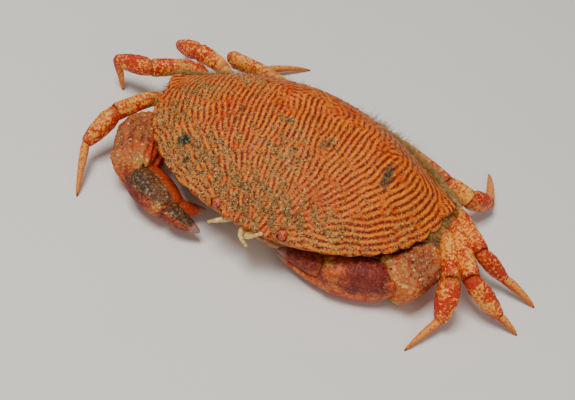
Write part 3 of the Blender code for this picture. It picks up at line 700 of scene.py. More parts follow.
STALK = (
    (0, 0.6, 0.6), (0.3, 0.62, 0.62), (0.6, 0.6, 0.6), (0.8, 0.8, 0.8), (0.97, 0.98, 0.98), (1.08, 1.0, 1.0),
    (1.1, 0.9, 0.9),
)
stalk = apply(grow(20, STALK), "SUBSURF", levels=2, render_levels=2)
for tag, side_of_head in (("left", 1), ("right", -1)):
    bare()
    bpy.ops.mesh.primitive_uv_sphere_add(segments=48, ring_count=32, radius=EYE_RADIUS)
    eye = bpy.context.object
    at = points_of(eye)
    at *= (1 + 0.03 * ripples(at, 0.5, 31))[:, None]
    shape(eye, at + np.array((EYES[0] * side_of_head, EYES[1], EYES[2])))
    done(eye, "eye_ball_" + tag, eye_finish, "eye", "eye_" + tag)
    root = (4.9 * side_of_head, -18.6, 11.6)
    piece = lay(stalk, root, (EYES[0] * side_of_head, EYES[1], EYES[2]))
    done(piece, "eye_stalk_" + tag, stalk_finish, "limb", "eyestalk_" + tag)
drop(stalk)


# Feelers
# Two pairs of short jointed feelers between the eyes, pale yellow and a little translucent: the
# antennules with their folded tips, and the antennae beside the orbits.

feeler_finish = Finish(
    "pale_feeler", roughness=0.45, fixed={"Subsurface Weight": 0.15, "Subsurface Scale": 0.001})
here = feeler_finish.place()
fleck = feeler_finish.noise(here, 0.6, 3.0)
coat = feeler_finish.mix(fleck.rise(0.35, 0.65), paint(236, 210, 130), paint(206, 160, 84))
coat = feeler_finish.mix(feeler_finish.noise(here, 0.3).rise(0.6, 0.7) * 0.6, coat, paint(160, 98, 52))
brown = feeler_finish.mix(fleck.rise(0.4, 0.6), paint(176, 92, 44), paint(140, 62, 34))
coat = feeler_finish.mix(feeler_finish.marked("ruddy"), coat, brown)
feeler_finish.wear("Base Color", coat)
feeler_finish.rub(fleck, 0.08)

FEELER_JOINTS = 7
# Each feeler: the knots of its line from root to tip, and its radius at each
FEELERS = {
    "antennule_left": (
        ((0.9, -20.2, 9.6), (0.7, -21.5, 9.7), (0.9, -22.8, 10.3), (3.8, -22.8, 13.2)),
        (0.5, 0.55, 0.45, 0.3),
    ),
    "antennule_right": (
        ((-0.9, -20.2, 9.6), (-0.7, -21.5, 9.7), (-0.3, -22.6, 9.6), (1.5, -23.2, 8.2)),
        (0.5, 0.55, 0.45, 0.3),
    ),
    "antenna_left": (
        ((3.5, -19.6, 9.7), (4.1, -20.6, 9.5), (5.0, -20.9, 9.1), (6.4, -20.5, 8.7)),
        (0.6, 0.75, 0.5, 0.27),
    ),
    "antenna_right": (
        ((-3.5, -19.6, 9.9), (-4.0, -20.8, 10.0), (-4.9, -21.6, 9.8), (-6.9, -22.7, 8.9)),
        (0.6, 0.7, 0.5, 0.27),
    ),
}


def draw_feeler(points, radii):
    """A jointed tube along a smooth line, thicker at the middle of every joint."""
    bare()
    bpy.ops.curve.primitive_bezier_curve_add()
    line = bpy.context.object
    spline = line.data.splines[0]
    spline.bezier_points.add(len(points) - 2)
    for knot, point, radius in zip(spline.bezier_points, points, radii):
        knot.co = point
        knot.radius = radius
        knot.handle_left_type = knot.handle_right_type = "AUTO"
    line.data.bevel_depth = 1.0
    line.data.bevel_resolution = 5
    line.data.use_fill_caps = True
    line.data.resolution_u = 16
    take(line)
    bpy.ops.object.convert(target="MESH")
    piece = bpy.context.object
    bpy.ops.object.mode_set(mode="EDIT")
    bpy.ops.mesh.select_all(action="SELECT")
    bpy.ops.mesh.remove_doubles(threshold=0.0005)
    bpy.ops.mesh.normals_make_consistent(inside=False)
    bpy.ops.object.mode_set(mode="OBJECT")
    apply(piece, "REMESH", mode="VOXEL", voxel_size=0.07)
    apply(piece, "SMOOTH", factor=0.5, iterations=4)
    at, out = points_of(piece), facing(piece)
    path = np.array(points)
    travel = np.zeros(len(at))
    nearest = np.full(len(at), 1e9)
    before = 0.0
    for a, b in zip(path, path[1:]):
        length = np.linalg.norm(b - a)
        share = np.clip((at - a) @ (b - a) / length**2, 0, 1)
        gap = np.linalg.norm(at - a - share[:, None] * (b - a), axis=1)
        travel = np.where(gap < nearest, before + share * length, travel)
        nearest = np.minimum(gap, nearest)
        before += length
    joints = np.cos(travel / before * 2 * math.pi * FEELER_JOINTS) * 0.5 + 0.5
    shape(piece, at - out * (0.07 * joints**3)[:, None])
    return piece


for name, (points, radii) in FEELERS.items():
    feeler = draw_feeler(points, radii)
    mark(feeler, "ruddy", 0.9 if name == "antenna_left" else 0.0)
    done(feeler, name + "_joints", feeler_finish, "feeler", name)


# Walking legs
# Four pairs of walking legs. Each has four free segments of hard shell, narrow at the root and flared
# into a cup at the far end, hinged in pairs by dark soft skin, and ends in a horny claw.

# The joints of each leg, from its root to its tip on the floor, with x away from the body
LEGS = {
    "left_1": (
        (12.4, -5.0, 4.2), (30.7, -1.8, 9.5), (35.3, -11.0, 9.6), (36.6, -14.4, 2.8), (33.3, -22.0, 0.0)),
    "left_2": (
        (13.0, -0.7, 4.2), (31.1, 1.6, 9.1), (38.4, -8.4, 9.1), (45.2, -8.1, 3.2), (49.7, -7.8, 0.0)),
    "left_3": (
        (12.8, 4.0, 4.2), (29.9, 5.5, 9.0), (37.8, -1.5, 8.9), (43.4, -0.3, 3.9), (50.6, -0.1, 0.0)),
    "left_4": (
        (11.6, 17.0, 7.6), (26.4, 11.0, 9.0), (31.2, 11.0, 7.2), (34.8, 16.8, 2.8), (31.7, 27.3, 0.0)),
    "right_1": (
        (12.4, -5.0, 4.2), (30.9, -2.0, 9.6), (34.9, -10.0, 9.8), (37.2, -16.4, 5.5), (33.6, -24.6, 0.0)),
    "right_2": (
        (12.4, -0.3, 4.2), (28.4, 10.2, 9.4), (36.3, 4.8, 9.6), (44.9, 5.2, 7.0), (43.1, 4.7, 0.0)),
    "right_3": (
        (12.4, 5.0, 4.2), (24.6, 13.6, 9.2), (31.1, 14.9, 9.3), (37.4, 17.2, 6.5), (38.0, 24.6, 0.0)),
    "right_4": (
        (11.0, 17.8, 8.0), (25.4, 18.0, 8.8), (25.6, 21.6, 4.4), (20.9, 25.6, 2.0), (13.3, 33.8, 0.0)),
}
# How thick each of the four segments is, against its master form
LEG_SIZES = {
    "left_1": (1.0, 1.0, 1.3, 0.8), "left_2": (1.0, 1.05, 1.0, 0.78), "left_3": (0.95, 0.95, 0.85, 0.92),
    "left_4": (0.9, 1.05, 1.1, 0.88), "right_1": (1.0, 1.0, 1.05, 0.85), "right_2": (1.0, 1.05, 1.05, 0.85),
    "right_3": (0.95, 1.1, 1.0, 0.85), "right_4": (0.95, 0.85, 0.85, 0.8),
}
LEAST_SILT = 0.1
LEG_SILT = {"right_1": 0.34, "right_2": 0.2, "right_4": 0.24, "left_4": 0.18}
# How much redder than the others each of the four segments is
SEGMENT_RED = (-0.03, 0.0, 0.07, 0.0)
# The forms of the segments: way along, half width, half depth
MERUS = (
    (-0.03, 0.5, 0.6), (0.0, 0.8, 0.95), (0.03, 1.0, 1.25), (0.1, 1.12, 1.5), (0.25, 1.18, 1.7),
    (0.45, 1.25, 1.88), (0.65, 1.32, 1.94), (0.8, 1.36, 1.92), (0.91, 1.38, 1.82), (0.97, 1.36, 1.74),
    (1.0, 1.3, 1.66), (1.0, 1.2, 1.54), (0.98, 1.1, 1.4),
)
CARPUS = (
    (-0.1, 0.9, 1.1), (-0.02, 1.15, 1.4), (0.05, 1.28, 1.55), (0.15, 1.36, 1.62), (0.35, 1.44, 1.68),
    (0.55, 1.52, 1.76), (0.75, 1.6, 1.86), (0.9, 1.64, 1.9), (0.97, 1.6, 1.84), (1.0, 1.5, 1.74),
    (1.0, 1.38, 1.6), (0.97, 1.2, 1.4),
)
PROPODUS = (
    (-0.1, 1.0, 1.2), (-0.02, 1.3, 1.55), (0.05, 1.46, 1.72), (0.13, 1.56, 1.84), (0.28, 1.66, 1.94),
    (0.45, 1.68, 1.98), (0.63, 1.54, 1.82), (0.8, 1.32, 1.56), (0.92, 1.12, 1.32), (0.98, 1.04, 1.2),
    (1.0, 0.94, 1.1), (0.99, 0.84, 0.98), (0.95, 0.72, 0.84),
)
DACTYL = (
    (-0.05, 0.75, 0.8), (0.0, 0.92, 1.0), (0.05, 1.0, 1.1), (0.12, 1.0, 1.12), (0.28, 0.9, 1.02),
    (0.45, 0.77, 0.87), (0.62, 0.64, 0.73), (0.78, 0.5, 0.56), (0.9, 0.36, 0.4), (0.97, 0.22, 0.24),
    (1.0, 0.08, 0.09),
)

limb = Finish("mottled_limb", roughness=0.45, fixed={"Specular IOR Level": 0.2})
here = limb.place()
along = limb.marked("along")
net = limb.noise(here, 0.55, 2.0, 0.6)
fleck = limb.noise(here, 0.3, 2.0, 0.6)
wash = limb.noise(here, 4.2, 2.0)
ruddy = limb.marked("ruddy")
red = (wash + ruddy).rise(0.4, 0.58)
coat = limb.mix(red, paint(230, 104, 28), paint(208, 54, 24))
pale = (net - (wash + ruddy - 0.5) * 0.5).rise(0.505, 0.55)
coat = limb.mix(pale * 0.9, coat, paint(252, 156, 44))
coat = limb.mix(pale * fleck.rise(0.46, 0.56) * 0.7, coat, paint(255, 204, 100))
coat = limb.mix(fleck.rise(0.52, 0.6) * (1 - pale) * 0.8, coat, paint(140, 26, 16))
coat = limb.mix(along.rise(0.1, 0.0) * 0.6, coat, paint(186, 52, 24))
coat = limb.mix(along.rise(0.955, 0.99) * 0.6, coat, paint(120, 44, 20))
tone = limb.cell_number(here, 0.36, 0)
dust = limb.mix(tone.rise(0.3, 0.7), paint(84, 58, 30), paint(166, 126, 70))
settled = (limb.marked("silt") + (tone - 0.5) * 0.9 + (fleck - 0.5) * 1.4 - 0.5).rise(0.0, 0.3)
coat = limb.mix(settled * 0.85, coat, dust)
limb.wear("Base Color", coat)
limb.wear("Roughness", (fleck * 0.3 + 0.34).held())
grain = limb.cells(here, 0.36)
limb.rub((1 - grain) * 0.8 + fleck * 0.5 + settled * 0.3, 0.085)

tip = Finish("horny_tip", roughness=0.42, fixed={"Specular IOR Level": 0.2})
here = tip.place()
along = tip.marked("along")
upper = tip.marked("upper")
fleck = tip.noise(here, 0.4, 3.0)
coat = tip.mix(along.rise(0.05, 0.6), paint(196, 66, 26), paint(216, 112, 34))
coat = tip.mix((upper + (fleck - 0.5) * 2.4).rise(0.1, 0.7) * 0.7, coat, paint(250, 172, 76))
coat = tip.mix(fleck.rise(0.53, 0.62) * 0.75, coat, paint(146, 40, 20))
coat = tip.mix(upper.rise(-0.3, -0.8) * 0.5, coat, paint(120, 42, 22))
coat = tip.mix(along.rise(0.9, 0.97), coat, paint(112, 60, 26))
tip.wear("Base Color", coat)
tip.rub(fleck, 0.08)


def leg_form(stations, ridges, depth):
    """One master segment, with low ridges along it at the given turns round its section."""
    piece = apply(grow(16, stations), "SUBSURF", levels=2, render_levels=2)
    at = points_of(piece)
    turn = np.arctan2(at[:, 1], at[:, 0])
    middle = step(0.05, 0.2, at[:, 2]) * step(0.97, 0.85, at[:, 2])
    swell = np.zeros(len(at))
    for ridge in ridges:
        swell += hump(np.mod(turn - ridge + math.pi, 2 * math.pi), math.pi, 0.16)
    at[:, :2] *= (1 + depth * swell * middle)[:, None]
    at[:, :2] *= (1 + 0.02 * ripples(at * (1, 1, 9), 1.6, 51))[:, None]
    shape(piece, at)
    mark(piece, "along", at[:, 2])
    mark(piece, "upper", at[:, 1] / max(s[2] for s in stations))
    return piece


TURNS = (math.pi / 2, -math.pi / 2)
leg_masters = (
    ("merus_", limb, "limb", leg_form(MERUS, TURNS, 0.07), 0.02),
    ("carpus_", limb, "limb", leg_form(CARPUS, (1.1, 2.0, -math.pi / 2), 0.07), 0.03),
    ("propodus_", limb, "limb", leg_form(PROPODUS, (0.9, 2.2, -0.9, -2.2), 0.06), 0.0),
    ("dactyl_", tip, "tip", leg_form(DACTYL, (0.5, 1.57, 2.6, -0.5, -1.57, -2.6), 0.1), 0.05),
)
for leg, joints in LEGS.items():
    side = 1 if leg.startswith("left") else -1
    joints = [Vector((x * side, y, z)) for x, y, z in joints]
    for i, (kind, finish, slot_name, master, bow) in enumerate(leg_masters):
        piece = lay(master, joints[i], joints[i + 1], LEG_SIZES[leg][i], bow)
        mark(piece, "ruddy", SEGMENT_RED[i])
        mark(piece, "silt", LEG_SILT.get(leg, LEAST_SILT) * step(0.2, 0.8, facing(piece)[:, 2]))
        done(piece, f"{kind}shell_{leg}", finish, slot_name, kind + leg)
for _, _, _, master, _ in leg_masters:
    drop(master)


# Claws
# The big pincers: an arm, a broad wrist with a blunt tooth, and a heavy palm with its fixed finger,
# against which the free finger closes. Thick shell, granulated above and smoother below.

# The joints of each claw: root, elbow, root and end of the palm, with x away from the body
CLAWS = {
    "left": ((10.4, -9.8, 4.4), (30.6, -5.3, 6.7), (26.9, -13.8, 5.4), (14.4, -18.2, 4.8)),
    "right": ((10.4, -9.8, 4.4), (30.0, -6.2, 6.9), (26.0, -16.8, 5.6), (15.6, -20.7, 4.7)),
}
# The tips of the fixed finger, the free finger and the wrist's tooth
CLAW_TIPS = {
    "left": ((5.3, -17.9, 3.6), (5.2, -17.9, 4.5), (22.9, -13.1, 9.3)),
    "right": ((10.7, -15.8, 2.5), (8.9, -21.4, 3.2), (23.4, -18.2, 9.1)),
}
# What sets the two claws apart: how far the palm leans, in degrees, how far the pale tooth shines out, the
# pale rim of the wrist, its ridges and streaks, the painted shadow of a hole beside its tooth, the silt, and
# how far out and up the knob stands
CLAW_LOOKS = {
    "left": {"lean": 0, "tooth": 1.4, "rim": 0.42, "ridge": 0.06, "streak": 0.1, "painted_hole_shadow": 0.0,
             "wrist_silt": 0.55, "palm_silt": 0.15, "knob": (2.4, 1.8)},
    "right": {"lean": 58, "tooth": 2.3, "rim": 0.15, "ridge": 0.2, "streak": 0.75, "painted_hole_shadow": 1.0,
              "wrist_silt": 0.62, "palm_silt": 1.15, "knob": (1.6, 1.0)},
}
WRIST_BOX = 4.2
CREST_LEAN = math.radians(25)
WRIST_ROWS = (0.0, math.radians(24), math.radians(46), math.radians(68))
CLAW_MERUS = (
    (-0.03, 0.8, 1.0), (0.0, 1.15, 1.35), (0.03, 1.45, 1.75), (0.06, 1.65, 2.0), (0.2, 1.8, 2.2),
    (0.45, 2.0, 2.4), (0.65, 2.06, 2.48), (0.82, 2.1, 2.5), (0.91, 2.0, 2.35), (0.96, 1.8, 2.1),
    (0.955, 1.5, 1.8), (0.93, 1.2, 1.5),
)
CLAW_CARPUS = (
    (-0.12, 1.4, 1.7), (-0.05, 2.2, 2.5), (0.02, 2.9, 3.2), (0.1, 3.5, 3.8), (0.24, 3.95, 4.2),
    (0.4, 4.1, 4.4), (0.6, 4.2, 4.5), (0.8, 4.15, 4.5), (0.95, 4.0, 4.3), (1.08, 3.6, 3.95),
    (1.15, 3.0, 3.4), (1.17, 2.2, 2.6),
)
PALM = (
    (-0.06, 1.1, 1.5), (-0.01, 1.6, 2.1), (0.05, 2.0, 2.8), (0.12, 2.5, 3.4), (0.25, 3.1, 4.35),
    (0.42, 3.35, 4.8), (0.57, 3.38, 4.7), (0.7, 3.3, 4.4), (0.84, 3.1, 3.9), (0.95, 2.8, 3.4),
    (1.02, 2.3, 2.8), (1.05, 1.6, 2.0),
)
FIXED_FINGER = (
    (-0.35, 1.0, 0.9), (-0.2, 1.5, 1.3), (0.0, 1.82, 1.5), (0.15, 1.74, 1.45), (0.3, 1.6, 1.36),
    (0.45, 1.42, 1.22), (0.6, 1.2, 1.06), (0.75, 0.98, 0.86), (0.87, 0.75, 0.66), (0.96, 0.48, 0.44),
    (1.01, 0.2, 0.2),
)
FREE_FINGER = (
    (-0.06, 0.9, 0.95), (0.0, 1.35, 1.45), (0.05, 1.7, 1.85), (0.12, 1.92, 2.08), (0.22, 1.93, 2.06),
    (0.35, 1.82, 1.92), (0.5, 1.6, 1.7), (0.65, 1.32, 1.4), (0.78, 1.06, 1.12), (0.89, 0.76, 0.8),
    (0.97, 0.45, 0.48), (1.02, 0.16, 0.18),
)
CARPAL_TOOTH = (
    (-0.1, 2.2, 2.2), (0.0, 2.35, 2.35), (0.3, 2.1, 2.1), (0.6, 1.6, 1.6), (0.85, 1.05, 1.05),
    (0.97, 0.65, 0.65), (1.03, 0.25, 0.25),
)

claw = Finish("granulated_claw", roughness=0.45, fixed={"Specular IOR Level": 0.2})
here = claw.place()
mottle = claw.noise(here, 2.0, 4.0, 0.6)
fleck = claw.noise(here, 0.42, 3.0, 0.65)
net = claw.noise(here, 0.7, 2.0, 0.6)
bead = claw.cells(here, 0.36)
kind = claw.cell_number(here, 0.36, 0)
tone = claw.cell_number(here, 0.36, 1)
maroon, horn, silt = claw.marked("maroon"), claw.marked("horn"), claw.marked("silt")
soft = (mottle - 0.5) * 1.6 + (fleck - 0.5) * 1.5
pale = (net + (fleck - 0.5) * 0.5).rise(0.5, 0.58)
coat = claw.mix(mottle.rise(0.4, 0.62), paint(210, 92, 34), paint(180, 50, 26))
coat = claw.mix(pale * 0.55, coat, paint(236, 160, 80))
maroon_colour = claw.mix(pale, paint(130, 38, 30), paint(158, 70, 46))
coat = claw.mix((maroon + soft).rise(0.2, 0.85), coat, maroon_colour)
coat = claw.mix((maroon + soft).rise(0.6, 1.2) * 0.7, coat, paint(98, 32, 30))
streak = (claw.marked("streak") + (fleck - 0.5) * 0.8).rise(0.2, 0.7)
coat = claw.mix(streak * 0.7, coat, paint(206, 88, 30))
orange = (claw.marked("orange") + soft * 0.7).rise(0.25, 0.75)
coat = claw.mix(orange * 0.85, coat, paint(186, 54, 24))
cream = (claw.marked("cream") + soft * 0.6).rise(0.25, 0.75)
cream_colour = claw.mix(pale, paint(196, 128, 46), paint(236, 194, 100))
coat = claw.mix(cream * 0.8, coat, cream_colour)
light_beads = bead.rise(0.5, 0.2) * kind.rise(0.6, 0.9)
coat = claw.mix(light_beads * (0.6 - maroon * 0.3), coat, paint(230, 140, 90))
coat = claw.mix(bead.rise(0.55, 0.25) * kind.rise(0.3, 0.1) * 0.5, coat, paint(78, 24, 20))
silt_colour = claw.mix(tone.rise(0.3, 0.7), paint(80, 56, 30), paint(160, 116, 62))
silt_colour = claw.mix(kind.rise(0.9, 0.94), silt_colour, paint(214, 180, 116))
mud_colour = claw.mix(tone.rise(0.4, 0.9), paint(46, 40, 26), paint(100, 84, 54))
mud_colour = claw.mix(kind.rise(0.9, 0.94), mud_colour, paint(150, 132, 92))
silt_colour = claw.mix(silt.rise(0.6, 1.0), silt_colour, mud_colour)
settled = (silt + (fleck - 0.5) * 1.4 + (tone - 0.5) * 1.0 - 0.5).rise(0.0, 0.25)
coat = claw.mix(settled * 0.85, coat, silt_colour)
# Near-black spot by the wrist's tooth: painted shadow of a hole, with no hole in the shape
coat = claw.mix(claw.marked("painted_hole_shadow").rise(0.35, 0.6), coat, paint(30, 18, 14))
horn_colour = claw.mix(mottle, paint(140, 92, 80), paint(190, 150, 136))
coat = claw.mix((horn + (fleck - 0.5) * 0.6).held() * 0.9, coat, horn_colour)
claw.wear("Base Color", coat)
claw.wear("Roughness", (fleck * 0.35 + 0.32).held())
claw.rub((1 - bead) * 0.9 * (1 - horn) + fleck * 0.6 + settled * 0.3, 0.12)


def fuse(pieces, grain, rounds):
    """Several closed forms grown together into one skin."""
    piece = join(pieces)
    apply(piece, "REMESH", mode="VOXEL", voxel_size=grain)
    return apply(piece, "SMOOTH", factor=0.5, iterations=rounds)


def bead_at(place, radius):
    """One small ball of shell."""
    bare()
    bpy.ops.mesh.primitive_ico_sphere_add(subdivisions=2, radius=radius, location=place)
    bead = bpy.context.object
    bpy.ops.object.transform_apply(location=True)
    return bead


def frame_of(start, end, up):
    """The ways along a line, across it and up from it."""
    along = (end - start).normalized()
    across = along.cross(up).normalized()
    return along, across, across.cross(along)


def leant(top, aside, angle):
    """The way that leans from the top to one side by this angle."""
    return (top * math.cos(angle) + aside * math.sin(angle)).normalized()


def marks_along(piece, start, end, up, half):
    """Where each point of the piece lies: along from 0 to 1, and how far up and across it is."""
    along, across, top = frame_of(start, end, up)
    at = points_of(piece) - np.array(start)
    length = (end - start).length
    return at @ np.array(along) / length, at @ np.array(top) / half, at @ np.array(across) / half


def far(place, spot):
    """How far each point lies from one spot."""
    return np.linalg.norm(place - np.array(spot), axis=1)


def grown_form(sides, stations, boxy=2.4):
    """A grown form with a section between a round one, at 2, and a box."""
    piece = apply(grow(sides, stations), "SUBSURF", levels=2, render_levels=2)
    at = points_of(piece)
    turn = np.arctan2(at[:, 1] / max(s[2] for s in stations), at[:, 0] / max(s[1] for s in stations))
    swell = (np.abs(np.cos(turn)) ** boxy + np.abs(np.sin(turn)) ** boxy) ** (-1 / boxy)
    at[:, :2] *= (swell * 0.985)[:, None]
    shape(piece, at)
    return piece


def beads_along(start, end, shares, way, heights, radii):
    """Beads in a row, at these shares of a line, each lifted off it by its own height."""
    rows = zip(*np.broadcast_arrays(shares, heights, radii))
    return [bead_at(start.lerp(end, share) + way * height, radius) for share, height, radius in rows]


def weather(piece, name, slot, zones, silt, node):
    """Marks the colour zones and silt of a claw plate and finishes it."""
    for zone in ("maroon", "orange", "cream", "horn", "streak", "painted_hole_shadow"):
        mark(piece, zone, zones.get(zone, 0.0))
    mark(piece, "silt", silt * step(0.0, 0.6, facing(piece)[:, 2]))
    done(piece, name, claw, slot, node)


masters = {
    "merus": grown_form(16, CLAW_MERUS),
    "carpus": grown_form(16, CLAW_CARPUS, WRIST_BOX),
    "palm": grown_form(16, PALM, 2.6),
    "fixed": grown_form(14, FIXED_FINGER),
    "free": grown_form(14, FREE_FINGER),
    "tooth": grown_form(12, CARPAL_TOOTH, 2.0),
}
for tag, joints in CLAWS.items():
    side = 1 if tag == "left" else -1
    look = CLAW_LOOKS[tag]
    root, elbow, palm_root, palm_end = (Vector((x * side, y, z)) for x, y, z in joints)
    low_tip, high_tip, tooth_tip = (Vector((x * side, y, z)) for x, y, z in CLAW_TIPS[tag])
    palm_along, _, palm_up = frame_of(palm_root, palm_end, UP)
    palm_up = Matrix.Rotation(-math.radians(look["lean"]) * side, 3, palm_along) @ palm_up
    inward = palm_along.cross(palm_up).normalized() * side

    arm = fuse([lay(masters["merus"], root, elbow)], 0.2, 3)
    up_way = marks_along(arm, root, elbow, UP, 2.4)[1]
    zones = {"maroon": 0.3 * up_way, "orange": 0.5 - 0.5 * up_way}
    weather(arm, "claw_arm_" + tag, "limb", zones, 0.0, "claw_merus_" + tag)

    # The wrist, with rows of beads over its boxy section and a blunt tooth at its inner corner
    wrist_along, across, top = frame_of(elbow, palm_root, UP)
    bodywards = across * side
    tooth_root = elbow.lerp(palm_root, 0.72) + leant(top, bodywards, CREST_LEAN) * 2.2
    plates = [
        lay(masters["carpus"], elbow, palm_root, up=leant(top, bodywards, CREST_LEAN - math.pi / 4)),
        lay(masters["tooth"], tooth_root, tooth_tip),
    ]
    shares = np.linspace(0.15, 0.95, 10)
    for fall in WRIST_ROWS:
        off_corner = fall - math.pi / 4
        boxed = abs(math.cos(off_corner)) ** WRIST_BOX + abs(math.sin(off_corner)) ** WRIST_BOX
        heights = 4.15 * boxed ** (-1 / WRIST_BOX) * (1 - 0.9 * (shares - 0.6) ** 2)
        way_out = leant(top, bodywards, CREST_LEAN - fall)
        plates += beads_along(elbow, palm_root, shares, way_out, heights, 0.34 if fall == 0 else 0.24)
    wrist = fuse(plates, 0.19, 3)
    way, up_way, across_way = marks_along(wrist, elbow, palm_root, UP, 4.3)
    place, out = points_of(wrist), facing(wrist)
    inner = out @ np.array(bodywards) - np.abs(out @ np.array(wrist_along)) * 0.3
    outer_face = step(0.5, 0.2, inner)
    rim_of_face = step(0.75, 1.05, way) + step(-0.4, -0.9, up_way) + step(0.25, 0.0, way)
    # Where the painted shadow of a hole lies, just by the tooth's tip
    painted_hole_shadow = tooth_tip + (elbow - palm_root) * 0.03
    streaks = ripples(np.stack([way * 2.0, up_way * 4.3, across_way * 4.3], 1), 1.7, 91)
    ridges = look["ridge"] * streaks * step(-0.05, 0.2, way) * step(1.2, 0.9, way)
    shape(wrist, place + out * (ridges + 0.07 * ripples(place, 1.1, 92))[:, None])
    maroon = outer_face * step(-0.6, -0.1, up_way) * step(0.0, 0.3, way) * step(1.0, 0.7, way)
    zones = {
        "maroon": 0.85 * maroon - 0.1,
        "orange": np.maximum(1 - outer_face, 0.3 * step(-0.35, -0.8, up_way)),
        "cream": hump(far(place, tooth_tip), 0, look["tooth"]) + look["rim"] * rim_of_face * outer_face,
        "streak": look["streak"] * step(0.2, 0.9, streaks) * step(-0.1, 0.2, way),
        "painted_hole_shadow": look["painted_hole_shadow"] * hump(far(place, painted_hole_shadow), 0, 0.55),
    }
    silt = look["wrist_silt"] * step(-0.5, 0.6, up_way) * outer_face
    weather(wrist, "claw_wrist_" + tag, "limb", zones, silt, "claw_carpus_" + tag)

    # The palm with its fixed finger, biting knobs, beaded crest and the knob of its hinge
    low_root, high_root = palm_end - palm_up * 1.8, palm_end + palm_up * 1.1
    knob = palm_root + palm_along * 1.3 - inward * look["knob"][0] + palm_up * look["knob"][1]
    plates = [
        lay(masters["palm"], palm_root, palm_end, up=palm_up),
        lay(masters["fixed"], low_root, low_tip, up=palm_up),
        bead_at(knob, 1.05),
    ]
    bites = np.linspace(0.15, 0.77, 4)
    bite_sizes = 0.75 - 0.6 * (bites - 0.15)
    plates += beads_along(low_root, low_tip, bites, palm_up, 1.1 * (1 - 0.7 * bites), bite_sizes)
    shares = np.linspace(0.12, 0.85, 8)
    plates += beads_along(palm_root, palm_end, shares, palm_up, 4.62 - 5.5 * (shares - 0.42) ** 2, 0.3)
    palm = fuse(plates, 0.17, 3)
    way, up_way, _ = marks_along(palm, palm_root, palm_end, palm_up, 4.6)
    place = points_of(palm)
    inner = facing(palm) @ np.array(inward)
    outer_face = step(0.35, -0.15, inner)
    maroon = step(-0.5, 0.25, up_way) * (0.25 + 0.75 * np.maximum(outer_face, step(0.55, 0.85, up_way)))
    hinge_cream = 0.8 * hump(way, 0.99, 0.1) * hump(up_way, 0.78, 0.16)
    side_cream = 0.4 * hump(way, 0.84, 0.12) * hump(up_way, 0.35, 0.45)
    zones = {
        "maroon": maroon - 0.45 * hump(way, 0.86, 0.16) - 0.25 * step(0.2, 0.0, way),
        "cream": hinge_cream + side_cream + 0.6 * hump(far(place, knob), 0, 1.3),
        "orange": np.maximum(step(-0.3, -0.65, up_way), 0.8 * (1 - outer_face) * step(0.5, 0.2, up_way)),
        "horn": step(2.6, 1.2, far(place, low_tip)),
    }
    silt = look["palm_silt"] * step(-0.2, 0.3, inner) * step(0.0, 0.35, up_way) * step(0.1, 0.25, way)
    weather(palm, "palm_shell_" + tag, "claw", zones, silt, "palm_" + tag)

    # The free finger, with biting knobs below and a row of small points above
    plates = [lay(masters["free"], high_root, high_tip, bow=0.03, up=palm_up)]
    plates += beads_along(high_root, high_tip, bites, palm_up, -1.55 * (1 - 0.7 * bites), bite_sizes)
    shares = np.linspace(0.1, 0.72, 10)
    plates += beads_along(high_root, high_tip, shares, palm_up, 2.0 - 1.35 * shares**1.3, 0.2)
    finger = fuse(plates, 0.13, 3)
    way, up_way, _ = marks_along(finger, high_root, high_tip, palm_up, 2.0)
    zones = {
        "maroon": 0.8 * step(-1.2, -0.3, up_way) - 0.3 * step(0.12, 0.0, way),
        "orange": 0.8 * step(-0.4, -1.0, up_way) * step(0.75, 0.5, way),
        "cream": 0.3 * step(0.12, 0.0, way),
        "horn": step(0.7, 0.84, way),
    }
    silt = look["palm_silt"] * step(-0.1, 0.4, facing(finger) @ np.array(inward))
    weather(finger, "free_finger_" + tag, "claw", zones, silt, "finger_" + tag)
for master in masters.values():
    drop(master)


# Silt
# Sand grains, 0.15 to 0.4 mm across, that have settled on the back and cling there in a thin film of silt.
# They lie thickest in front and in the hollows, and each is sunk a little into the shell.

def scatter(piece, count, seed, weight):
    """Places on the piece's skin and the way it faces there, more of them where weight is high."""
    mesh = piece.data
    owner = np.empty(len(mesh.loops), dtype=np.int32)
    mesh.loops.foreach_get("vertex_index", owner)
    areas, corners = np.empty(len(mesh.polygons)), np.empty(len(mesh.polygons), dtype=np.int32)
    mesh.polygons.foreach_get("area", areas)
    mesh.polygons.foreach_get("loop_total", corners)
    area = np.bincount(owner, np.repeat(areas / corners, corners), len(mesh.vertices))
    at, out = points_of(piece), facing(piece)
    # The points can come in another order on each run, so they are sorted by place before the draw
    order = np.lexsort(at.T)
    at, out, area = at[order], out[order], area[order]
    chance = np.random.default_rng(seed)
    odds = area * weight(at, out)
    chosen = chance.choice(len(odds), count, p=odds / odds.sum())
    at, out = at[chosen], out[chosen]
    drift = chance.normal(size=(count, 3)) * 0.12 * MM
    return at + drift - out * (drift * out).sum(axis=1)[:, None], out, chance


bare()
bpy.ops.mesh.primitive_ico_sphere_add(subdivisions=1, radius=1)
grain = bpy.context.object
grain_points, grain_faces = points_of(grain), np.array([list(f.vertices) for f in grain.data.polygons])
drop(grain)


def silt_weight(place, normal):
    """How thickly the grains lie: most where the silt does, none on the main stains or under the rim."""
    x, y = place[:, 0] / MM, place[:, 1] / MM
    bare_spots = blobs(x, y, [spot[:4] + (1.0,) for spot in FOULED[:3]])
    amount = soil_at(x, y) + 0.25 * ripples(np.stack([x, y], 1), 2.2, 61)
    return np.clip(amount - 0.12 - bare_spots, 0, 1) ** 1.7 * step(0.05, 0.4, normal[:, 2])


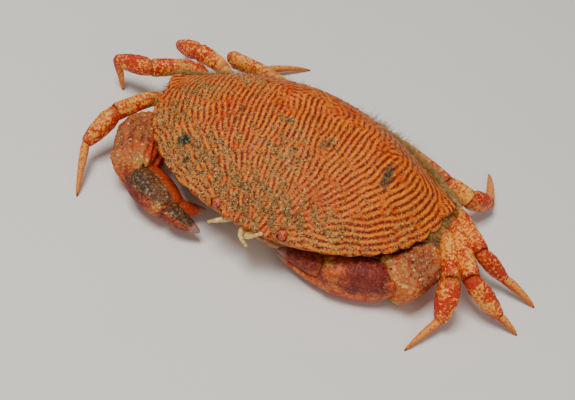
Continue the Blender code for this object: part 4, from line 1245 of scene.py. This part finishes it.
GRAINS = 5200
spots, normals, chance = scatter(carapace, GRAINS, 62, silt_weight)
size = 0.075 + 0.13 * chance.beta(1.3, 4.0, len(spots))
angles, axes = chance.uniform(0, 6.28, len(spots)), chance.normal(size=(len(spots), 3))
turns = [Matrix.Rotation(angle, 3, Vector(axis)) for angle, axis in zip(angles, axes)]
stretch = chance.uniform(0.65, 1.25, (len(spots), 3)) * size[:, None]
all_points, all_faces, tones = [], [], []
for i, (spot, normal, turn, reach) in enumerate(zip(spots / MM, normals, turns, stretch)):
    all_points.append((grain_points * reach) @ np.array(turn).T + spot + normal * size[i] * 0.35)
    all_faces.append(grain_faces + i * len(grain_points))
    tones.append(np.full(len(grain_points), chance.uniform()))
mesh = bpy.data.meshes.new("sand_grains")
mesh.from_pydata(np.concatenate(all_points).tolist(), [], np.concatenate(all_faces).tolist())
grains = bpy.data.objects.new("sand_grains", mesh)
put_in(grains)
mark(grains, "tone", np.concatenate(tones))
sand = Finish("sand", roughness=0.6)
here = sand.place()
tone = sand.marked("tone")
coat = sand.mix(tone.rise(0.34, 0.38), paint(100, 72, 38), paint(162, 122, 66))
coat = sand.mix(tone.rise(0.6, 0.64), coat, paint(196, 150, 84))
coat = sand.mix(tone.rise(0.9, 0.92), coat, paint(226, 200, 144))
coat = sand.mix(tone.rise(0.16, 0.14), coat, paint(54, 42, 28))
coat = sand.mix(sand.noise(here, 0.2).rise(0.45, 0.6) * 0.3, coat, paint(120, 92, 60))
sand.wear("Base Color", coat)
sand.rub(sand.noise(here, 0.15), 0.04)
done(grains, "sand_grains", sand, "shell")


# Hair
# Short olive bristles that catch silt: a fringe behind the rear and side rims, and a tuft under each
# side corner where the legs come out.

def bristles(roots, ways, lengths, width, droop, chance):
    """Fine tapering hairs as one mesh, each with three bends."""
    all_points, all_faces, along = [], [], []
    for i, (root, way, length) in enumerate(zip(roots, ways, lengths)):
        way = way / np.linalg.norm(way)
        across = np.cross(way, (0, 0, 1))
        across = across / max(np.linalg.norm(across), 1e-6)
        top = np.cross(across, way)
        sag = np.array((0, 0, -droop)) + chance.normal(size=3) * 0.22
        thick = width * chance.uniform(0.7, 1.3)
        for share in (0.0, 0.4, 0.75):
            middle = root + way * length * share + sag * length * share**2
            for turn in (0, 2.094, 4.189):
                edge = across * math.cos(turn) + top * math.sin(turn)
                all_points.append(middle + edge * thick * (1 - 0.8 * share))
                along.append(share)
        all_points.append(root + way * length + sag * length)
        along.append(1.0)
        first = i * 10
        for ring in (0, 3):
            for k in range(3):
                j = (k + 1) % 3
                low, high = first + ring, first + ring + 3
                all_faces.append((low + k, low + j, high + j, high + k))
        for k in range(3):
            all_faces.append((first + 6 + k, first + 6 + (k + 1) % 3, first + 9))
        all_faces.append((first + 2, first + 1, first))
    mesh = bpy.data.meshes.new("bristles")
    mesh.from_pydata([tuple(p) for p in all_points], [], all_faces)
    piece = bpy.data.objects.new("bristles", mesh)
    put_in(piece)
    mark(piece, "along", np.array(along))
    return piece


FRINGE_HAIRS, TUFT_HAIRS = 3800, 700
chance = np.random.default_rng(81)
index = chance.integers(FRONT_STEPS, len(RIM_X), FRINGE_HAIRS)
sides = chance.choice((-1.0, 1.0), len(index))
rim_x, rim_y = RIM_X[index], RIM_Y[index]
outwards = np.stack([rim_x, rim_y - WIDEST_Y + 6.0], 1)
outwards /= np.linalg.norm(outwards, axis=1)[:, None]
depth = chance.uniform(0.1, 0.7, len(index))
inset = outwards * depth[:, None] * 0.4
roots = np.stack([sides * (rim_x - inset[:, 0]), rim_y - inset[:, 1], rim_height(rim_y) - depth], 1)
lift = 0.3 + 0.55 * step(6, 9, rim_y)
ways = np.stack([sides * outwards[:, 0], outwards[:, 1], lift], 1)
ways += chance.normal(size=(len(index), 3)) * 0.3
lengths = chance.uniform(1.3, 3.0, len(index))
fringe = bristles(roots, ways, lengths, 0.06, 0.2, chance)
tufts = []
for side_of_body in (1, -1):
    way_round = chance.uniform(0.0, 1.0, TUFT_HAIRS) ** 1.3
    y = -4.5 + 7.5 * way_round
    rim_x = np.interp(y, RIM_Y[:FRONT_STEPS], RIM_X[:FRONT_STEPS])
    x = (rim_x - chance.uniform(0.1, 1.8, TUFT_HAIRS)) * side_of_body
    z = rim_height(y) - chance.uniform(0.5, 1.8, TUFT_HAIRS)
    roots = np.stack([x, y, z], 1)
    ways = np.tile((0.9 * side_of_body, -0.35, -0.35), (TUFT_HAIRS, 1))
    ways[:, 1] += 0.5 * way_round
    ways += chance.normal(size=(TUFT_HAIRS, 3)) * 0.33
    tufts.append(bristles(roots, ways, chance.uniform(1.2, 3.0, TUFT_HAIRS), 0.055, 0.2, chance))
hair = join([fringe] + tufts)
olive = Finish("olive_bristle", roughness=0.6, fixed={"Specular IOR Level": 0.2})
here = olive.place()
coat = olive.mix(olive.marked("along"), paint(120, 90, 46), paint(186, 160, 104))
coat = olive.mix(olive.noise(here, 0.9).rise(0.42, 0.62) * 0.7, coat, paint(206, 160, 88))
olive.wear("Base Color", coat)
done(hair, "rim_bristles", olive, "shell")


# Studio
# A plain pale floor under the crab, soft light from above and in front, and the camera where the
# photograph was taken from.

bare()
bpy.ops.mesh.primitive_plane_add(size=3.0, location=(0, 0, -0.00002))
floor = bpy.context.object
floor.name = "floor"
pale = Finish("pale_floor", roughness=0.8)
here = pale.place()
pale.wear("Base Color", pale.mix(pale.noise(here, 40.0), paint(236, 232, 222), paint(240, 236, 228)))
floor.data.materials.append(pale.material)

sky = bpy.data.worlds.new("studio")
sky.use_nodes = True
sky.node_tree.nodes["Background"].inputs["Color"].default_value = (0.95, 0.97, 1.0, 1.0)
sky.node_tree.nodes["Background"].inputs["Strength"].default_value = 0.2
bpy.context.scene.world = sky

MIDDLE_OF_CRAB = Vector((0, 0, 0.01))


def softbox(name, place, size, power):
    """A square soft light that looks at the crab."""
    bare()
    bpy.ops.object.light_add(type="AREA", location=place)
    light = bpy.context.object
    light.name = name
    light.data.size = size
    light.data.energy = power
    light.rotation_euler = (MIDDLE_OF_CRAB - Vector(place)).to_track_quat("-Z", "Y").to_euler()


softbox("key_light", (-0.06, -0.10, 0.43), 0.16, 1.75)
softbox("fill_light", (0.30, -0.30, 0.30), 0.35, 0.4)

camera = bpy.data.objects.new("camera", bpy.data.cameras.new("camera"))
put_in(camera)
camera.data.sensor_width = 36
camera.data.lens = 60.44
camera.data.clip_start = 0.001
# Its right, top and back, from the points of the crab that the photograph shows
right = (0.87780649, 0.4610834, 0.12983784)
top = (-0.42657873, 0.62914476, 0.64977493)
back = (0.21791363, -0.62576272, 0.74895572)
turned = Matrix((right, top, back)).transposed().to_4x4()
camera.matrix_world = Matrix.Translation((0.040919, -0.120178, 0.140618)) @ turned
bpy.context.scene.camera = camera
